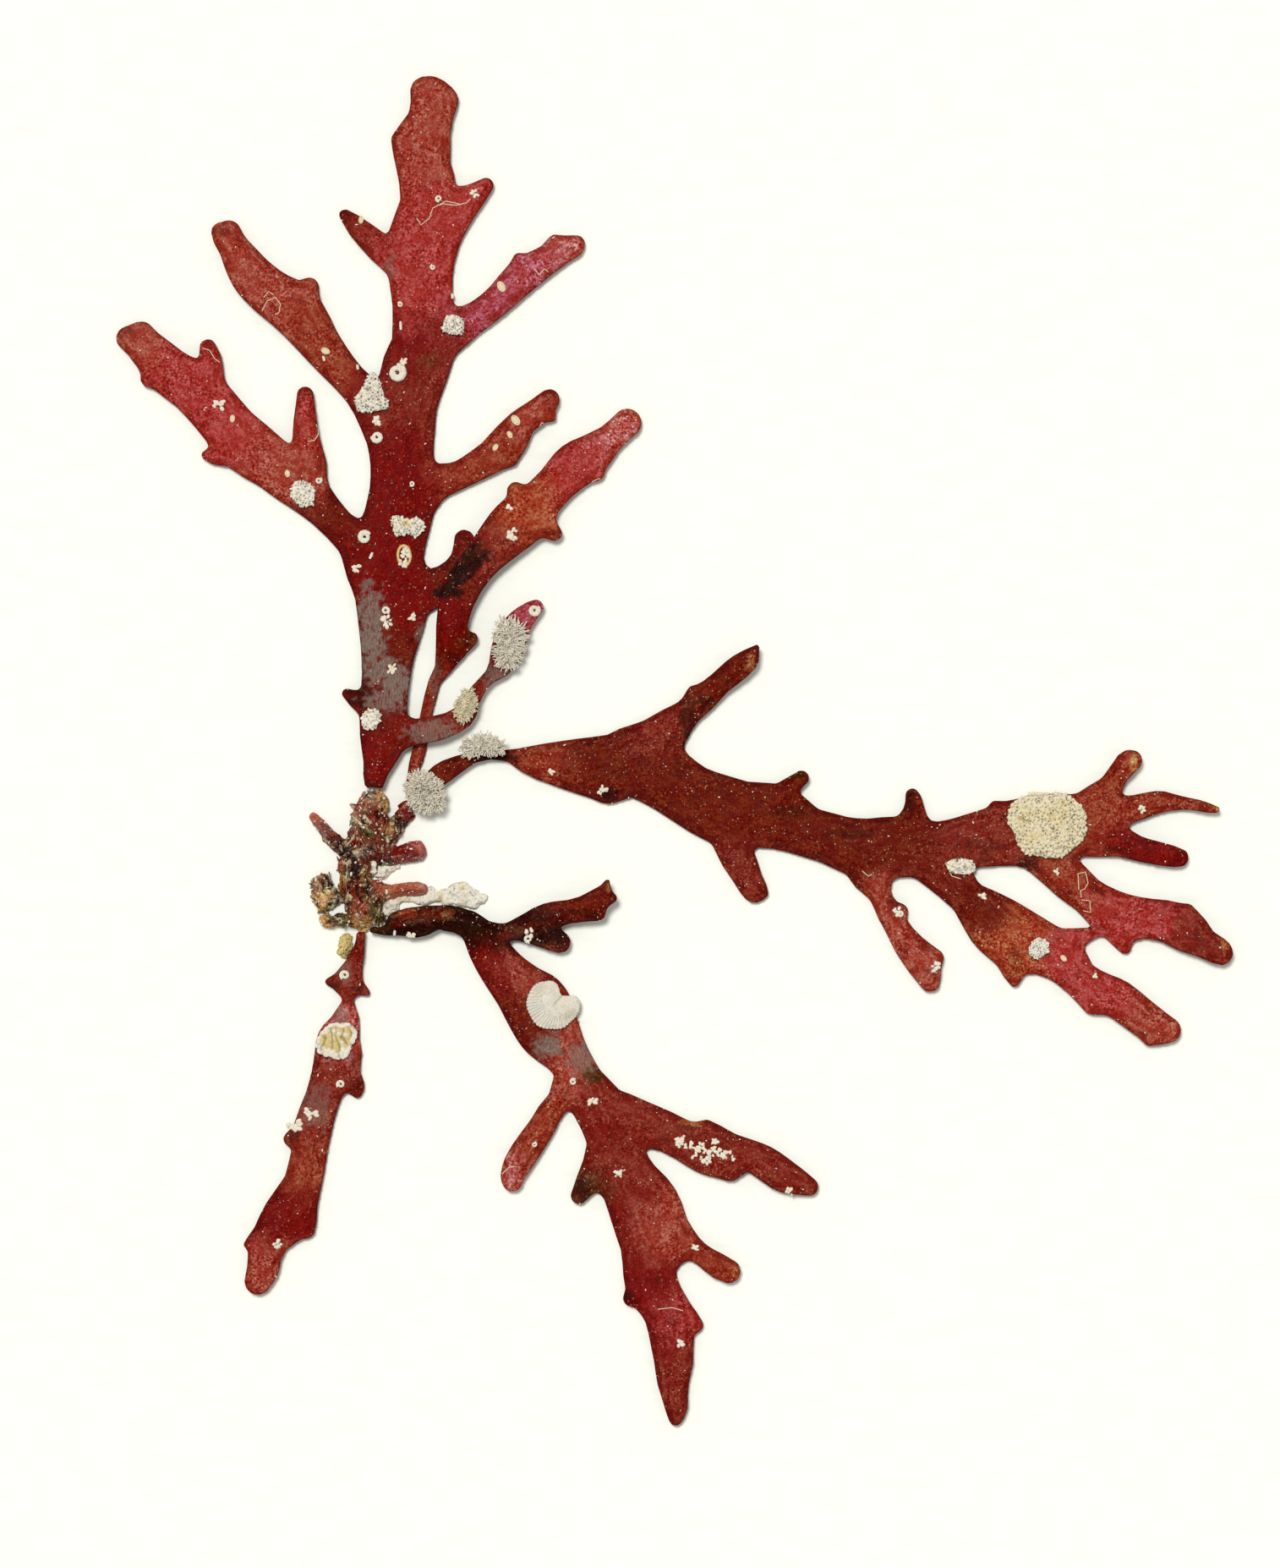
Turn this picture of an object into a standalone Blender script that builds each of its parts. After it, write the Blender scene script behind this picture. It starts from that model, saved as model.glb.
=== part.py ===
"""A pressed and dried plant of the red seaweed Osmundea spectabilis, lying flat.

Blender 4.5, metres, +Z up. The plant is one knobbly holdfast and five fronds, with the crusts, tufts and
coiled worm tubes that grow on them. Each frond is a handful of branches. A branch is a centre line with
a half width at each of its stations, read by eye from a scan of the plant, and its outline, waves and
thickness follow from those by formula.
"""

import math
from typing import NamedTuple

import bmesh
import bpy
import numpy as np
from mathutils import Vector
from mathutils.bvhtree import BVHTree
from mathutils.geometry import delaunay_2d_cdt

MM = 0.001

# The scan has 300 dots to the inch, and this dot of it is the middle of the plant.
SCAN_PITCH = 25.4 * MM / 300
SCAN_CENTRE_X = 797.2
SCAN_CENTRE_Y = 887.9

BLADE_THICKNESS = 0.85 * MM
MARGIN_THICKNESS = 0.6 * MM
STALK_THICKNESS = 1.1 * MM
STEM_THICKNESS = 1.6 * MM
# The blade reaches its full thickness this far in from its margin.
MARGIN_WIDTH = 0.9 * MM
# Where two branches part, a web of about this width fills the angle.
WEB = 0.28 * MM
# Two pieces that touch keep this gap.
GAP = 0.3 * MM
# No underside but the holdfast's comes closer to the surface than this.
CLEARANCE = 0.02 * MM
# Height of the waves along a blade's margin, and the distance from one to the next.
WAVE_HEIGHT = 0.3 * MM
WAVE_LENGTH = 7.0 * MM

# Step of the relief from which an outline is cut, and how closely the thinned outline keeps to it.
RELIEF_STEP = 0.3 * MM
OUTLINE_SLACK = 0.055 * MM
LONGEST_EDGE = 1.9 * MM
# A gap closed all round counts as a hole from this area on.
LEAST_HOLE = 0.5 * MM**2
# Distance between the points inside a blade.
BLADE_SPACING = 2.1 * MM
# Points keep these shares of that spacing from the ones already there: along ribs, in the lattice, and
# between the lattice and the rim.
RIB_SHARE = 0.55
LATTICE_SHARE = 0.7
RIM_SHARE = 0.4
# The kind of triangulation that leaves out what lies beyond the outline.
INSIDE_OUTLINE = 1
CRUST_SPACING = 0.75 * MM
CLUMP_SPACING = 0.85 * MM
# Distance between the discs that a branch is swept from, and the steps of its curve between stations.
DISC_STEP = 0.3 * MM
STATION_STEPS = 12
# Branches with a smaller half width than this turn rounder and thicker, over this range of half widths.
STALK_HALF_WIDTH = 1.6 * MM
STALK_RANGE = 0.8 * MM
# A point on a branch's centre line is a point of its blade where it lies deeper than this.
RIB_DEPTH = 0.28 * MM
# Heights and thicknesses of two branches blend over this distance where they meet.
BLEND = 0.5 * MM
# Waves fade over this distance from the margin.
WAVE_FADE = 1.2 * MM
# A height above all of the plant.
ABOVE = 20 * MM

HOLDFAST_HEIGHT = 3.2 * MM
HOLDFAST_EDGE = 0.7 * MM
# The share of the clump's height that its knobs make, the rest being its body.
KNOB_SHARE = 0.75
# The share of a crust's height that stands at its edge.
CRUST_EDGE_SHARE = 0.4
CRUST_OUTLINE_SLACK = 0.05 * MM
# The longest edge of a crust's outline, as a multiple of the spacing of its points.
CRUST_EDGE_STRETCH = 1.3
CRUST_WEB = 0.25 * MM
CLUMP_WEB = 0.12 * MM
# Half the thickness of a coiled tube, as a share of the coil's radius.
TUBE_SHARE = 0.3


class Branch(NamedTuple):
    """stations: (x, y, half width) in scan dots. rise: (share of the way, height of the underside in mm)."""

    stations: tuple
    rise: tuple = ((0, 0.0), (1, 0.15))
    thickness: float = BLADE_THICKNESS


class Crust(NamedTuple):
    """lobes: (x, y, radius) in scan dots. host: the node it grows on, or None if it lies on the surface."""

    lobes: tuple
    host: str
    height: float
    colour: tuple


MAIN_FROND = {
    "axis": Branch(
        (
            (443, 930, 11), (444, 915, 14), (448, 900, 18), (451, 885, 23), (451, 870, 25),
            (453, 850, 27), (456, 810, 28), (459, 770, 32), (463, 730, 40), (461, 705, 41),
            (458, 680, 42), (460, 655, 41), (466, 630, 40), (472, 605, 40), (475, 580, 38),
            (475, 550, 37), (474, 525, 39), (473, 500, 42), (478, 478, 39), (485, 458, 38),
            (491, 436, 40), (500, 412, 38), (502, 385, 38), (500, 360, 36), (498, 335, 37),
            (498, 310, 39), (500, 285, 41), (502, 262, 36), (504, 240, 31), (505, 215, 33),
            (501, 198, 32), (499, 174, 34), (503, 157, 30), (507, 148, 27), (510, 135, 26),
            (513, 120, 26), (509, 113, 23),
        ),
        ((0, 0.9), (0.1, 0.6), (0.24, 0.05), (0.6, 0.0), (0.85, 0.1), (1, 0.35)),
    ),
    "tip_left": Branch(((507, 120, 16), (499, 105, 11))),
    "tip_right": Branch(((515, 125, 18), (530, 118, 11))),
    "tip_lobe": Branch(((490, 170, 20), (471, 165, 7))),
    "base_knob": Branch(((445, 835, 16), (428, 830, 12), (418, 825, 9), (410, 820, 6))),
    "left_upper": Branch(
        ((480, 305, 26), (455, 297, 18), (436, 281, 15), (420, 266, 12), (408, 254, 7)),
    ),
    "right_upper": Branch(
        ((515, 275, 30), (528, 260, 27), (543, 244, 22), (560, 232, 15), (575, 219, 9)),
        ((0, 0.0), (1, 0.4)),
    ),
    "right_middle": Branch(
        (
            (530, 392, 27), (552, 381, 20), (570, 370, 18), (590, 354, 18), (611, 333, 20),
            (632, 317, 19), (649, 306, 17), (664, 296, 16), (676, 292, 14), (682, 288, 10),
        ),
        ((0, 0.0), (0.5, 0.3), (1, 0.2)),
    ),
    "right_middle_lobe": Branch(((614, 325, 12), (614, 306, 7))),
    "right_middle_corner": Branch(((656, 298, 12), (656, 285, 7))),
    "left_middle": Branch(
        (
            (452, 495, 27), (432, 468, 22), (414, 449, 20), (394, 426, 22), (376, 403, 25),
            (360, 380, 29), (340, 360, 30), (320, 346, 28), (300, 328, 26), (286, 308, 22),
            (276, 291, 17), (268, 278, 14),
        ),
        ((0, 0.0), (0.5, 0.2), (1, 0.5)),
    ),
    "left_middle_tip_left": Branch(((266, 282, 12), (260, 274, 9))),
    "left_middle_tip_right": Branch(((272, 282, 12), (273, 272, 10))),
    "left_middle_lobe": Branch(((360, 352, 16), (366, 339, 11))),
    "left_lower": Branch(
        (
            (448, 668, 40), (425, 642, 26), (404, 625, 20), (385, 605, 21), (364, 584, 25),
            (343, 568, 27), (322, 549, 30), (298, 531, 33), (273, 507, 31), (250, 480, 31),
            (228, 458, 30), (202, 440, 28), (182, 420, 24), (165, 404, 19), (154, 401, 14),
        ),
        ((0, 0.0), (0.4, 0.15), (1, 0.4)),
    ),
    "left_lower_tip": Branch(((168, 405, 14), (168, 393, 12))),
    "left_lower_end": Branch(((160, 402, 14), (149, 399, 10))),
    "left_lower_lobe": Branch(
        ((246, 443, 18), (249, 425, 13), (246, 411, 10)),
        ((0, 0.1), (1, 0.6)),
    ),
    "left_lower_corner": Branch(((185, 438, 12), (175, 449, 8))),
    "left_lower_heel": Branch(((270, 525, 20), (258, 538, 12), (244, 538, 6))),
    "left_lower_finger": Branch(
        (
            (366, 565, 20), (366, 548, 20), (362, 520, 16), (361, 500, 14), (361, 480, 11.5),
            (361, 467, 10),
        ),
        ((0, 0.1), (1, 0.5)),
    ),
    "right_tooth": Branch(
        (
            (490, 575, 36), (515, 570, 22), (542, 562, 17), (563, 551, 18), (584, 538, 20),
            (602, 521, 22), (616, 501, 17), (633, 488, 15), (650, 472, 12),
        ),
        ((0, 0.0), (0.6, 0.25), (1, 0.5)),
    ),
    "right_tooth_heel": Branch(((596, 532, 14), (604, 543, 8))),
    "right_tooth_barb": Branch(((644, 485, 10), (652, 494, 5))),
    "right_lobe": Branch(
        (
            (480, 697, 36), (505, 697, 25), (528, 688, 21), (546, 668, 17), (550, 648, 14),
            (549, 638, 12),
        ),
        ((0, 0.0), (1, 0.0)),
        0.7 * MM,
    ),
    "crossing_branchlet": Branch(
        (
            (460, 868, 24), (478, 866, 18), (495, 865, 15), (515, 862, 15), (535, 855, 14),
            (550, 845, 13), (558, 828, 10), (568, 812, 8), (580, 800, 8), (592, 787, 14),
            (600, 768, 19), (605, 752, 19), (615, 735, 15), (626, 724, 12), (634, 718, 9),
        ),
        ((0, 0.6), (0.08, 1.2), (0.28, 1.3), (0.5, 0.9), (0.8, 0.5), (1, 0.9)),
    ),
}

SLENDER_FROND = {
    "axis": Branch(
        (
            (483, 932, 4.5), (486, 920, 5), (492, 900, 8), (498, 878, 8), (502, 860, 8),
            (505, 840, 7), (510, 820, 7.5), (514, 805, 7), (520, 795, 6.5), (523, 785, 8),
            (526, 772, 11), (530, 757, 14), (534, 740, 18), (538, 720, 20), (543, 702, 22),
            (556, 680, 22), (572, 660, 23), (590, 640, 27), (610, 620, 31), (628, 605, 28),
            (643, 588, 24), (660, 570, 24), (680, 550, 27), (702, 535, 23), (722, 518, 17),
            (742, 500, 17),
        ),
        ((0, 0.1), (0.05, 0.0), (0.29, 0.0), (0.36, 1.15), (0.6, 1.25), (0.78, 0.4), (1, 0.35)),
        0.75 * MM,
    ),
    "left_lobe": Branch(((618, 592, 14), (610, 580, 10)), ((0, 0.9), (1, 0.9))),
    "right_lobe": Branch(((640, 618, 14), (656, 631, 9)), ((0, 0.9), (1, 0.7))),
    "tooth": Branch(((700, 545, 12), (706, 560, 8)), ((0, 0.4), (1, 0.4))),
    "branchlet": Branch(
        ((522, 797, 6), (536, 781, 6), (548, 767, 6.5), (557, 755, 8)),
        ((0, 0.0), (1, 0.2)),
    ),
}

RIGHT_FROND = {
    "axis": Branch(
        (
            (489, 951, 7), (500, 938, 9), (512, 923, 12), (525, 913, 13), (543, 903, 10),
            (560, 896, 6.5), (578, 893, 5.5), (592, 893, 6), (605, 894, 8), (620, 898, 14),
            (640, 901, 21), (660, 903, 26), (680, 905, 31), (705, 907, 36), (730, 905, 38),
            (758, 901, 43), (790, 922, 38), (818, 941, 37), (848, 955, 40), (880, 961, 37),
            (905, 964, 38), (930, 971, 35), (954, 983, 30), (980, 991, 30), (1000, 998, 32),
            (1025, 1003, 35), (1052, 1002, 36), (1080, 1004, 33), (1105, 1006, 34),
            (1130, 999, 31), (1160, 992, 33), (1185, 988, 36), (1210, 983, 39), (1240, 978, 38),
            (1270, 976, 37), (1295, 972, 34),
        ),
        ((0, 0.7), (0.08, 0.7), (0.2, 0.1), (0.5, 0.05), (0.75, 0.15), (1, 0.1)),
    ),
    "neck_edge": Branch(((720, 925, 25), (724, 943, 6))),
    "upper_first": Branch(
        (
            (770, 885, 32), (792, 862, 24), (814, 842, 16), (833, 825, 16), (851, 808, 14),
            (870, 792, 15), (884, 781, 13), (891, 771, 6), (895, 765, 3),
        ),
        ((0, 0.0), (0.5, 0.3), (0.8, 0.9), (1, 1.7)),
    ),
    "upper_first_bump": Branch(((822, 830, 12), (820, 817, 6)), ((0, 0.3), (1, 0.3))),
    "lower_first": Branch(
        ((866, 985, 26), (871, 1010, 21), (881, 1030, 18), (887, 1045, 15), (892, 1055, 12)),
    ),
    "lower_first_corner": Branch(((894, 1050, 12), (902, 1056, 6))),
    "upper_second": Branch(
        ((930, 955, 18), (930, 938, 14), (940, 926, 10), (948, 920, 9)),
        ((0, 0.0), (1, 1.0)),
    ),
    "lower_second": Branch(
        (
            (1030, 1030, 26), (1040, 1055, 14), (1049, 1075, 13), (1060, 1095, 14),
            (1073, 1115, 17), (1088, 1133, 20), (1096, 1148, 17), (1100, 1161, 12),
        ),
        ((0, 0.0), (1, 0.35)),
    ),
    "lower_second_bump": Branch(((1054, 1080, 11), (1066, 1077, 8))),
    "lower_second_corner": Branch(((1098, 1133, 12), (1108, 1132, 8)), ((0, 0.3), (1, 0.3))),
    "upper_third": Branch(
        ((1080, 978, 20), (1081, 960, 13), (1081, 947, 10), (1079, 940, 8)),
        ((0, 0.0), (1, 0.5)),
    ),
    "upper_tooth": Branch(((1195, 975, 16), (1188, 963, 11), (1177, 952, 5)), ((0, 0.0), (1, 0.4))),
    "long_fork": Branch(
        (
            (1115, 1025, 30), (1130, 1045, 24), (1146, 1063, 22), (1163, 1079, 29),
            (1182, 1096, 36), (1207, 1112, 37), (1234, 1122, 31), (1258, 1136, 27),
            (1277, 1157, 22), (1298, 1172, 24), (1322, 1181, 23), (1346, 1199, 22),
            (1368, 1214, 20), (1382, 1218, 15),
        ),
        ((0, 0.1), (0.5, 0.1), (1, 0.5)),
    ),
    "long_fork_tooth": Branch(
        ((1198, 1130, 18), (1198, 1145, 14), (1200, 1160, 7)),
        ((0, 0.1), (1, 0.4)),
    ),
    "long_fork_side": Branch(
        ((1255, 1120, 18), (1268, 1112, 14), (1288, 1105, 7), (1302, 1103, 3)),
    ),
    "long_fork_bump": Branch(((1291, 1178, 14), (1291, 1190, 9))),
    "long_fork_heel": Branch(((1362, 1216, 14), (1360, 1229, 7)), ((0, 0.4), (1, 0.4))),
    "middle_fork": Branch(
        (
            (1222, 1005, 22), (1245, 1022, 24), (1267, 1042, 24), (1286, 1058, 22),
            (1306, 1073, 25), (1330, 1084, 27), (1355, 1086, 24), (1382, 1090, 25),
            (1404, 1101, 25), (1422, 1114, 18), (1440, 1124, 16), (1444, 1127, 14),
        ),
        ((0, 0.1), (0.6, 0.2), (1, 0.9)),
    ),
    "middle_fork_tooth": Branch(((1324, 1092, 20), (1326, 1107, 14), (1331, 1121, 7))),
    "middle_fork_corner": Branch(((1402, 1090, 14), (1405, 1078, 8)), ((0, 0.6), (1, 0.6))),
    "end_upper": Branch(
        ((1300, 950, 24), (1312, 932, 15), (1322, 916, 13), (1333, 902, 14), (1339, 899, 12)),
        ((0, 0.1), (1, 1.0)),
    ),
    "end_middle": Branch(
        (
            (1315, 960, 20), (1335, 957, 16), (1352, 953, 15), (1372, 948, 13), (1392, 949, 9),
            (1412, 951, 7), (1428, 955, 6), (1438, 957, 4.5),
        ),
        ((0, 0.1), (0.6, 0.3), (1, 1.0)),
    ),
    "end_lower": Branch(
        (
            (1300, 985, 28), (1325, 995, 18), (1345, 1003, 15), (1365, 1008, 14), (1384, 1012, 13),
            (1395, 1014, 11),
        ),
        ((0, 0.1), (1, 0.6)),
    ),
}

LOWER_FROND = {
    "stem": Branch(
        (
            (441, 1097, 6.5), (455, 1096, 10), (475, 1091, 15), (495, 1090, 18), (515, 1085, 14),
            (535, 1086, 15), (555, 1092, 15), (575, 1100, 11), (597, 1101, 9), (612, 1099, 9),
        ),
        ((0, 0.8), (0.5, 0.7), (1, 0.5)),
        STEM_THICKNESS,
    ),
    "stem_upper_fork": Branch(
        (
            (612, 1097, 9), (630, 1089, 13), (650, 1082, 15), (672, 1078, 14), (692, 1074, 15),
            (708, 1063, 12), (716, 1052, 7), (718, 1043, 3.5),
        ),
        ((0, 0.5), (0.5, 1.0), (1, 2.2)),
    ),
    "stem_upper_fork_barb": Branch(((712, 1062, 9), (726, 1062, 4)), ((0, 1.4), (1, 1.6))),
    "stem_upper_fork_heel": Branch(((700, 1072, 12), (708, 1080, 8)), ((0, 1.2), (1, 1.2))),
    "stem_lower_fork": Branch(
        ((615, 1101, 9), (632, 1105, 12), (650, 1109, 14), (662, 1114, 13)),
        ((0, 0.5), (1, 0.8)),
    ),
    "blade": Branch(
        (
            (560, 1100, 12), (568, 1112, 18), (581, 1129, 24), (599, 1152, 28), (618, 1172, 33),
            (635, 1190, 40), (648, 1217, 37), (665, 1241, 28), (680, 1262, 24), (688, 1283, 28),
            (705, 1304, 30), (718, 1328, 31), (726, 1350, 32), (729, 1375, 36), (747, 1402, 36),
            (761, 1425, 42), (769, 1447, 43), (773, 1468, 40), (769, 1490, 33), (769, 1510, 31),
            (777, 1530, 29), (788, 1550, 28), (793, 1570, 27), (795, 1590, 25), (797, 1610, 23),
            (796, 1630, 19.5), (798, 1650, 15.5), (800, 1666, 13), (799, 1678, 8),
        ),
        ((0, 0.7), (0.08, 0.2), (0.3, 0.05), (0.7, 0.0), (1, 0.4)),
    ),
    "blade_barb_left": Branch(
        (
            (672, 1283, 18), (662, 1300, 14), (650, 1316, 15), (640, 1334, 16), (627, 1353, 17),
            (614, 1373, 17), (606, 1390, 14), (606, 1397, 12),
        ),
        ((0, 0.0), (1, 0.5)),
    ),
    "blade_knob": Branch(
        ((715, 1380, 22), (705, 1385, 18), (692, 1402, 13), (685, 1414, 10)),
        ((0, 0.0), (1, 0.4)),
    ),
    "blade_low_knob": Branch(((765, 1522, 18), (757, 1530, 14), (745, 1536, 8))),
    "blade_low_tooth": Branch(((800, 1555, 18), (812, 1560, 14), (824, 1567, 8))),
    "right_branch": Branch(
        (
            (735, 1322, 30), (761, 1330, 27), (785, 1337, 24), (810, 1349, 24), (838, 1359, 30),
            (860, 1366, 27), (885, 1366, 19), (905, 1375, 20), (925, 1389, 20), (945, 1398, 15),
            (957, 1403, 11),
        ),
        ((0, 0.0), (0.5, 0.25), (1, 0.5)),
    ),
    "right_branch_bump": Branch(((838, 1345, 16), (836, 1332, 7)), ((0, 0.2), (1, 0.2))),
    "right_branch_tooth": Branch(((862, 1375, 14), (864, 1387, 9)), ((0, 0.2), (1, 0.2))),
    "low_branch": Branch(
        ((800, 1468, 24), (820, 1477, 14), (835, 1487, 13), (850, 1497, 15), (862, 1503, 14)),
        ((0, 0.0), (1, 0.5)),
    ),
}

SMALL_FROND = {
    "axis": Branch(
        (
            (427, 1104, 5.5), (426, 1114, 5.5), (423, 1128, 8), (418, 1142, 11), (413, 1156, 15),
            (411, 1166, 13), (411, 1178, 6), (411, 1190, 8), (411, 1202, 12), (407, 1215, 18),
            (400, 1230, 25), (400, 1247, 28), (396, 1262, 26), (388, 1280, 22), (381, 1300, 21),
            (374, 1320, 22), (369, 1342, 22), (366, 1362, 21), (362, 1382, 22), (357, 1402, 23),
            (348, 1422, 27), (337, 1442, 29), (322, 1462, 23), (314, 1482, 20), (311, 1500, 19),
            (305, 1515, 16),
        ),
        ((0, 0.5), (0.12, 0.1), (0.6, 0.0), (1, 0.4)),
    ),
    "skirt_left": Branch(((405, 1161, 10), (396, 1161, 7), (388, 1161, 4))),
    "skirt_right": Branch(((415, 1167, 10), (425, 1169, 7), (434, 1174, 4))),
    "stalk_tooth": Branch(((410, 1203, 10), (404, 1200, 8))),
    "flap_right": Branch(((405, 1267, 18), (411, 1273, 14), (420, 1284, 11), (422, 1293, 6))),
    "knob_left": Branch(((360, 1345, 15), (352, 1345, 12), (343, 1347, 8))),
    "flap_low": Branch(((350, 1436, 20), (356, 1441, 18), (363, 1455, 9))),
    "tooth_left": Branch(((310, 1470, 14), (300, 1468, 8), (292, 1472, 4))),
}

FRONDS = {
    "main_frond": (MAIN_FROND, (0.20, 0.016, 0.014)),
    "slender_frond": (SLENDER_FROND, (0.19, 0.022, 0.020)),
    "right_frond": (RIGHT_FROND, (0.13, 0.020, 0.016)),
    "lower_frond": (LOWER_FROND, (0.15, 0.016, 0.014)),
    "small_frond": (SMALL_FROND, (0.17, 0.022, 0.018)),
}

# Knobs, old stumps and flaps of the clump: (x, y, radius) in scan dots.
HOLDFAST_LUMPS = (
    (435, 943, 7.5), (442, 942, 8), (449, 943, 7.5), (432, 954, 11), (441, 955, 13), (450, 955, 10),
    (428, 968, 13), (445, 975, 16), (425, 990, 14), (440, 998, 16), (458, 1000, 6.5), (461, 993, 6.5),
    (464, 986, 7), (468, 979, 8), (473, 972, 8.5), (477, 965, 8.5), (481, 960, 8.5), (418, 1012, 10),
    (410, 1021, 8), (409, 1031, 8), (430, 1025, 12), (415, 1040, 12), (407, 1053, 7), (434, 1048, 12),
    (420, 1065, 13), (440, 1068, 12), (428, 1085, 13), (447, 1085, 8), (416, 1088, 8), (405, 1088, 7),
    (395, 1089, 6.5), (385, 1089, 7.5), (370, 965, 4.5), (374, 970, 5.5), (378, 974, 6), (382, 979, 6.5),
    (386, 984, 7), (390, 989, 7), (395, 994, 7.5), (400, 999, 7.5), (406, 1003, 8), (412, 1004, 9),
    (417, 1002, 9), (450, 1015, 7.5), (456, 1015, 8), (462, 1014, 8.5), (468, 1012.5, 9.2),
    (474, 1011, 9.8), (480, 1009, 10.5), (486, 1007, 11), (490, 1006, 11), (494.5, 999, 5),
    (497, 1003.5, 5.5), (499, 1008.5, 5.5), (496, 1011.5, 6), (450, 1053, 9), (457, 1055, 8.5),
    (464, 1055, 8), (470, 1053, 7), (476, 1052, 7), (482, 1051, 7.5), (488, 1051, 8), (494, 1051, 7.5),
    (500, 1052, 6.5),
)
HOLDFAST_COLOUR = (0.16, 0.055, 0.022)

CREAM = (0.72, 0.62, 0.42)
WHITE = (0.82, 0.80, 0.72)
GREY = (0.52, 0.50, 0.42)
YELLOW_CREAM = (0.70, 0.58, 0.32)

CRUSTS = {
    "cell_crust": Crust(
        (
            (1238, 977, 36), (1213, 965, 22), (1260, 980, 24), (1252, 958, 21), (1226, 957, 19),
            (1221, 991, 19), (1250, 996, 18), (1266, 966, 18),
        ),
        "right_frond", 0.5 * MM, CREAM,
    ),
    "notched_disc": Crust(
        (
            (638, 1187, 15.5), (645, 1200, 16), (660, 1202, 14.5), (671, 1193, 13.5), (641, 1175, 13),
            (650, 1171, 11.5), (653, 1191, 14), (677, 1186, 8.5),
        ),
        "lower_frond", 0.45 * MM, WHITE,
    ),
    "grey_tuft": Crust(
        ((497, 928, 15), (508, 935, 16), (502, 946, 14), (514, 947, 10), (490, 938, 9)),
        "right_frond", 0.9 * MM, GREY,
    ),
    "fork_crust": Crust(
        (
            (441, 446, 6), (440, 455, 8), (444, 464, 9), (434, 468, 9), (427, 474, 7.5), (446, 476, 8.5),
            (437, 479, 8), (455, 479, 5.5), (428, 482, 5),
        ),
        "main_frond", 0.45 * MM, WHITE,
    ),
    "left_crust": Crust(((357, 582, 14), (362, 590, 9)), "main_frond", 0.4 * MM, CREAM),
    "right_crust": Crust(
        ((534, 379, 6), (541, 381, 6), (542, 388, 6.5), (531, 387, 7), (537, 385, 8)),
        "main_frond", 0.4 * MM, WHITE,
    ),
    "middle_crust": Crust(
        (
            (469, 615, 6), (476, 621, 6), (484, 623, 6), (492, 618, 6), (497, 622, 5), (471, 628, 6),
            (491, 629, 6),
        ),
        "main_frond", 0.4 * MM, CREAM,
    ),
    "foot_crust": Crust(((438, 852, 11), (442, 846, 8)), "main_frond", 0.4 * MM, CREAM),
    "fuzzy_crust": Crust(
        ((600, 776, 14), (604, 760, 16), (600, 744, 12), (610, 748, 9)),
        "main_frond", 0.7 * MM, GREY,
    ),
    "sponge_tuft": Crust(
        ((551, 836, 12), (555, 824, 9), (548, 845, 8)), "main_frond", 0.9 * MM, YELLOW_CREAM
    ),
    "neck_tuft": Crust(((556, 884, 10), (572, 880, 11), (588, 884, 9)), "right_frond", 0.9 * MM, GREY),
    "side_crust": Crust(((1127, 1024, 8), (1138, 1024, 9), (1147, 1026, 7)), "right_frond", 0.35 * MM, WHITE),
    "fork_bead_crust": Crust(((1230, 1120, 11), (1225, 1124, 8)), "right_frond", 0.35 * MM, CREAM),
    "fan_crust": Crust(
        ((397, 1228, 18), (386, 1236, 12), (410, 1222, 12), (402, 1242, 10)),
        "small_frond", 0.45 * MM, YELLOW_CREAM,
    ),
    "cream_bead": Crust(((409, 1110, 6.5), (408, 1119, 7), (406, 1127, 5.5)), None, 1.1 * MM, CREAM),
    "bead_cluster": Crust(
        ((822, 1358, 12), (835, 1360, 14), (850, 1363, 12)), "lower_frond", 0.45 * MM, WHITE
    ),
    "stem_sponge": Crust(
        ((512, 1064, 7), (524, 1063, 7), (537, 1060, 8), (551, 1062, 8), (564, 1066, 7)),
        None, 1.0 * MM, CREAM,
    ),
    "left_clump": Crust(
        ((382, 1043, 9), (380, 1056, 10), (384, 1067, 10), (392, 1061, 8)),
        None, 1.4 * MM, WHITE,
    ),
    "clump_fuzz": Crust(((455, 1032, 8), (462, 1030, 6), (453, 1038, 5)), None, 0.8 * MM, YELLOW_CREAM),
}

# Coiled worm tubes: (x, y, outer radius) in scan dots, and the frond each is cemented to.
WORM_TUBES = {
    "worm_tube_a": ((470, 441, 12), "main_frond"),
    "worm_tube_b": ((446, 517, 8), "main_frond"),
    "worm_tube_c": ((431, 635, 9), "main_frond"),
    "worm_tube_d": ((632, 722, 8), "main_frond"),
}
TUBE_SIDES = 6
TUBE_TURN_STEPS = 14


def place(x, y):
    """A dot of the scan, in metres from the plant's middle, +Y up the scan."""
    return (x - SCAN_CENTRE_X) * SCAN_PITCH, (SCAN_CENTRE_Y - y) * SCAN_PITCH


def catmull_rom(stations, shares):
    """The smooth curve through the stations, at shares of the way counted in stations."""
    points = np.array(stations, float)
    before = 2 * points[0] - points[1]
    after = 2 * points[-1] - points[-2]
    points = np.vstack([before, points, after])
    index = np.minimum(shares.astype(int), len(stations) - 2)
    t = (shares - index)[:, None]
    p0, p1, p2, p3 = (points[index + step] for step in range(4))
    return 0.5 * (
        2 * p1
        + (p2 - p0) * t
        + (2 * p0 - 5 * p1 + 4 * p2 - p3) * t**2
        + (3 * p1 - p0 - 3 * p2 + p3) * t**3
    )


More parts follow.
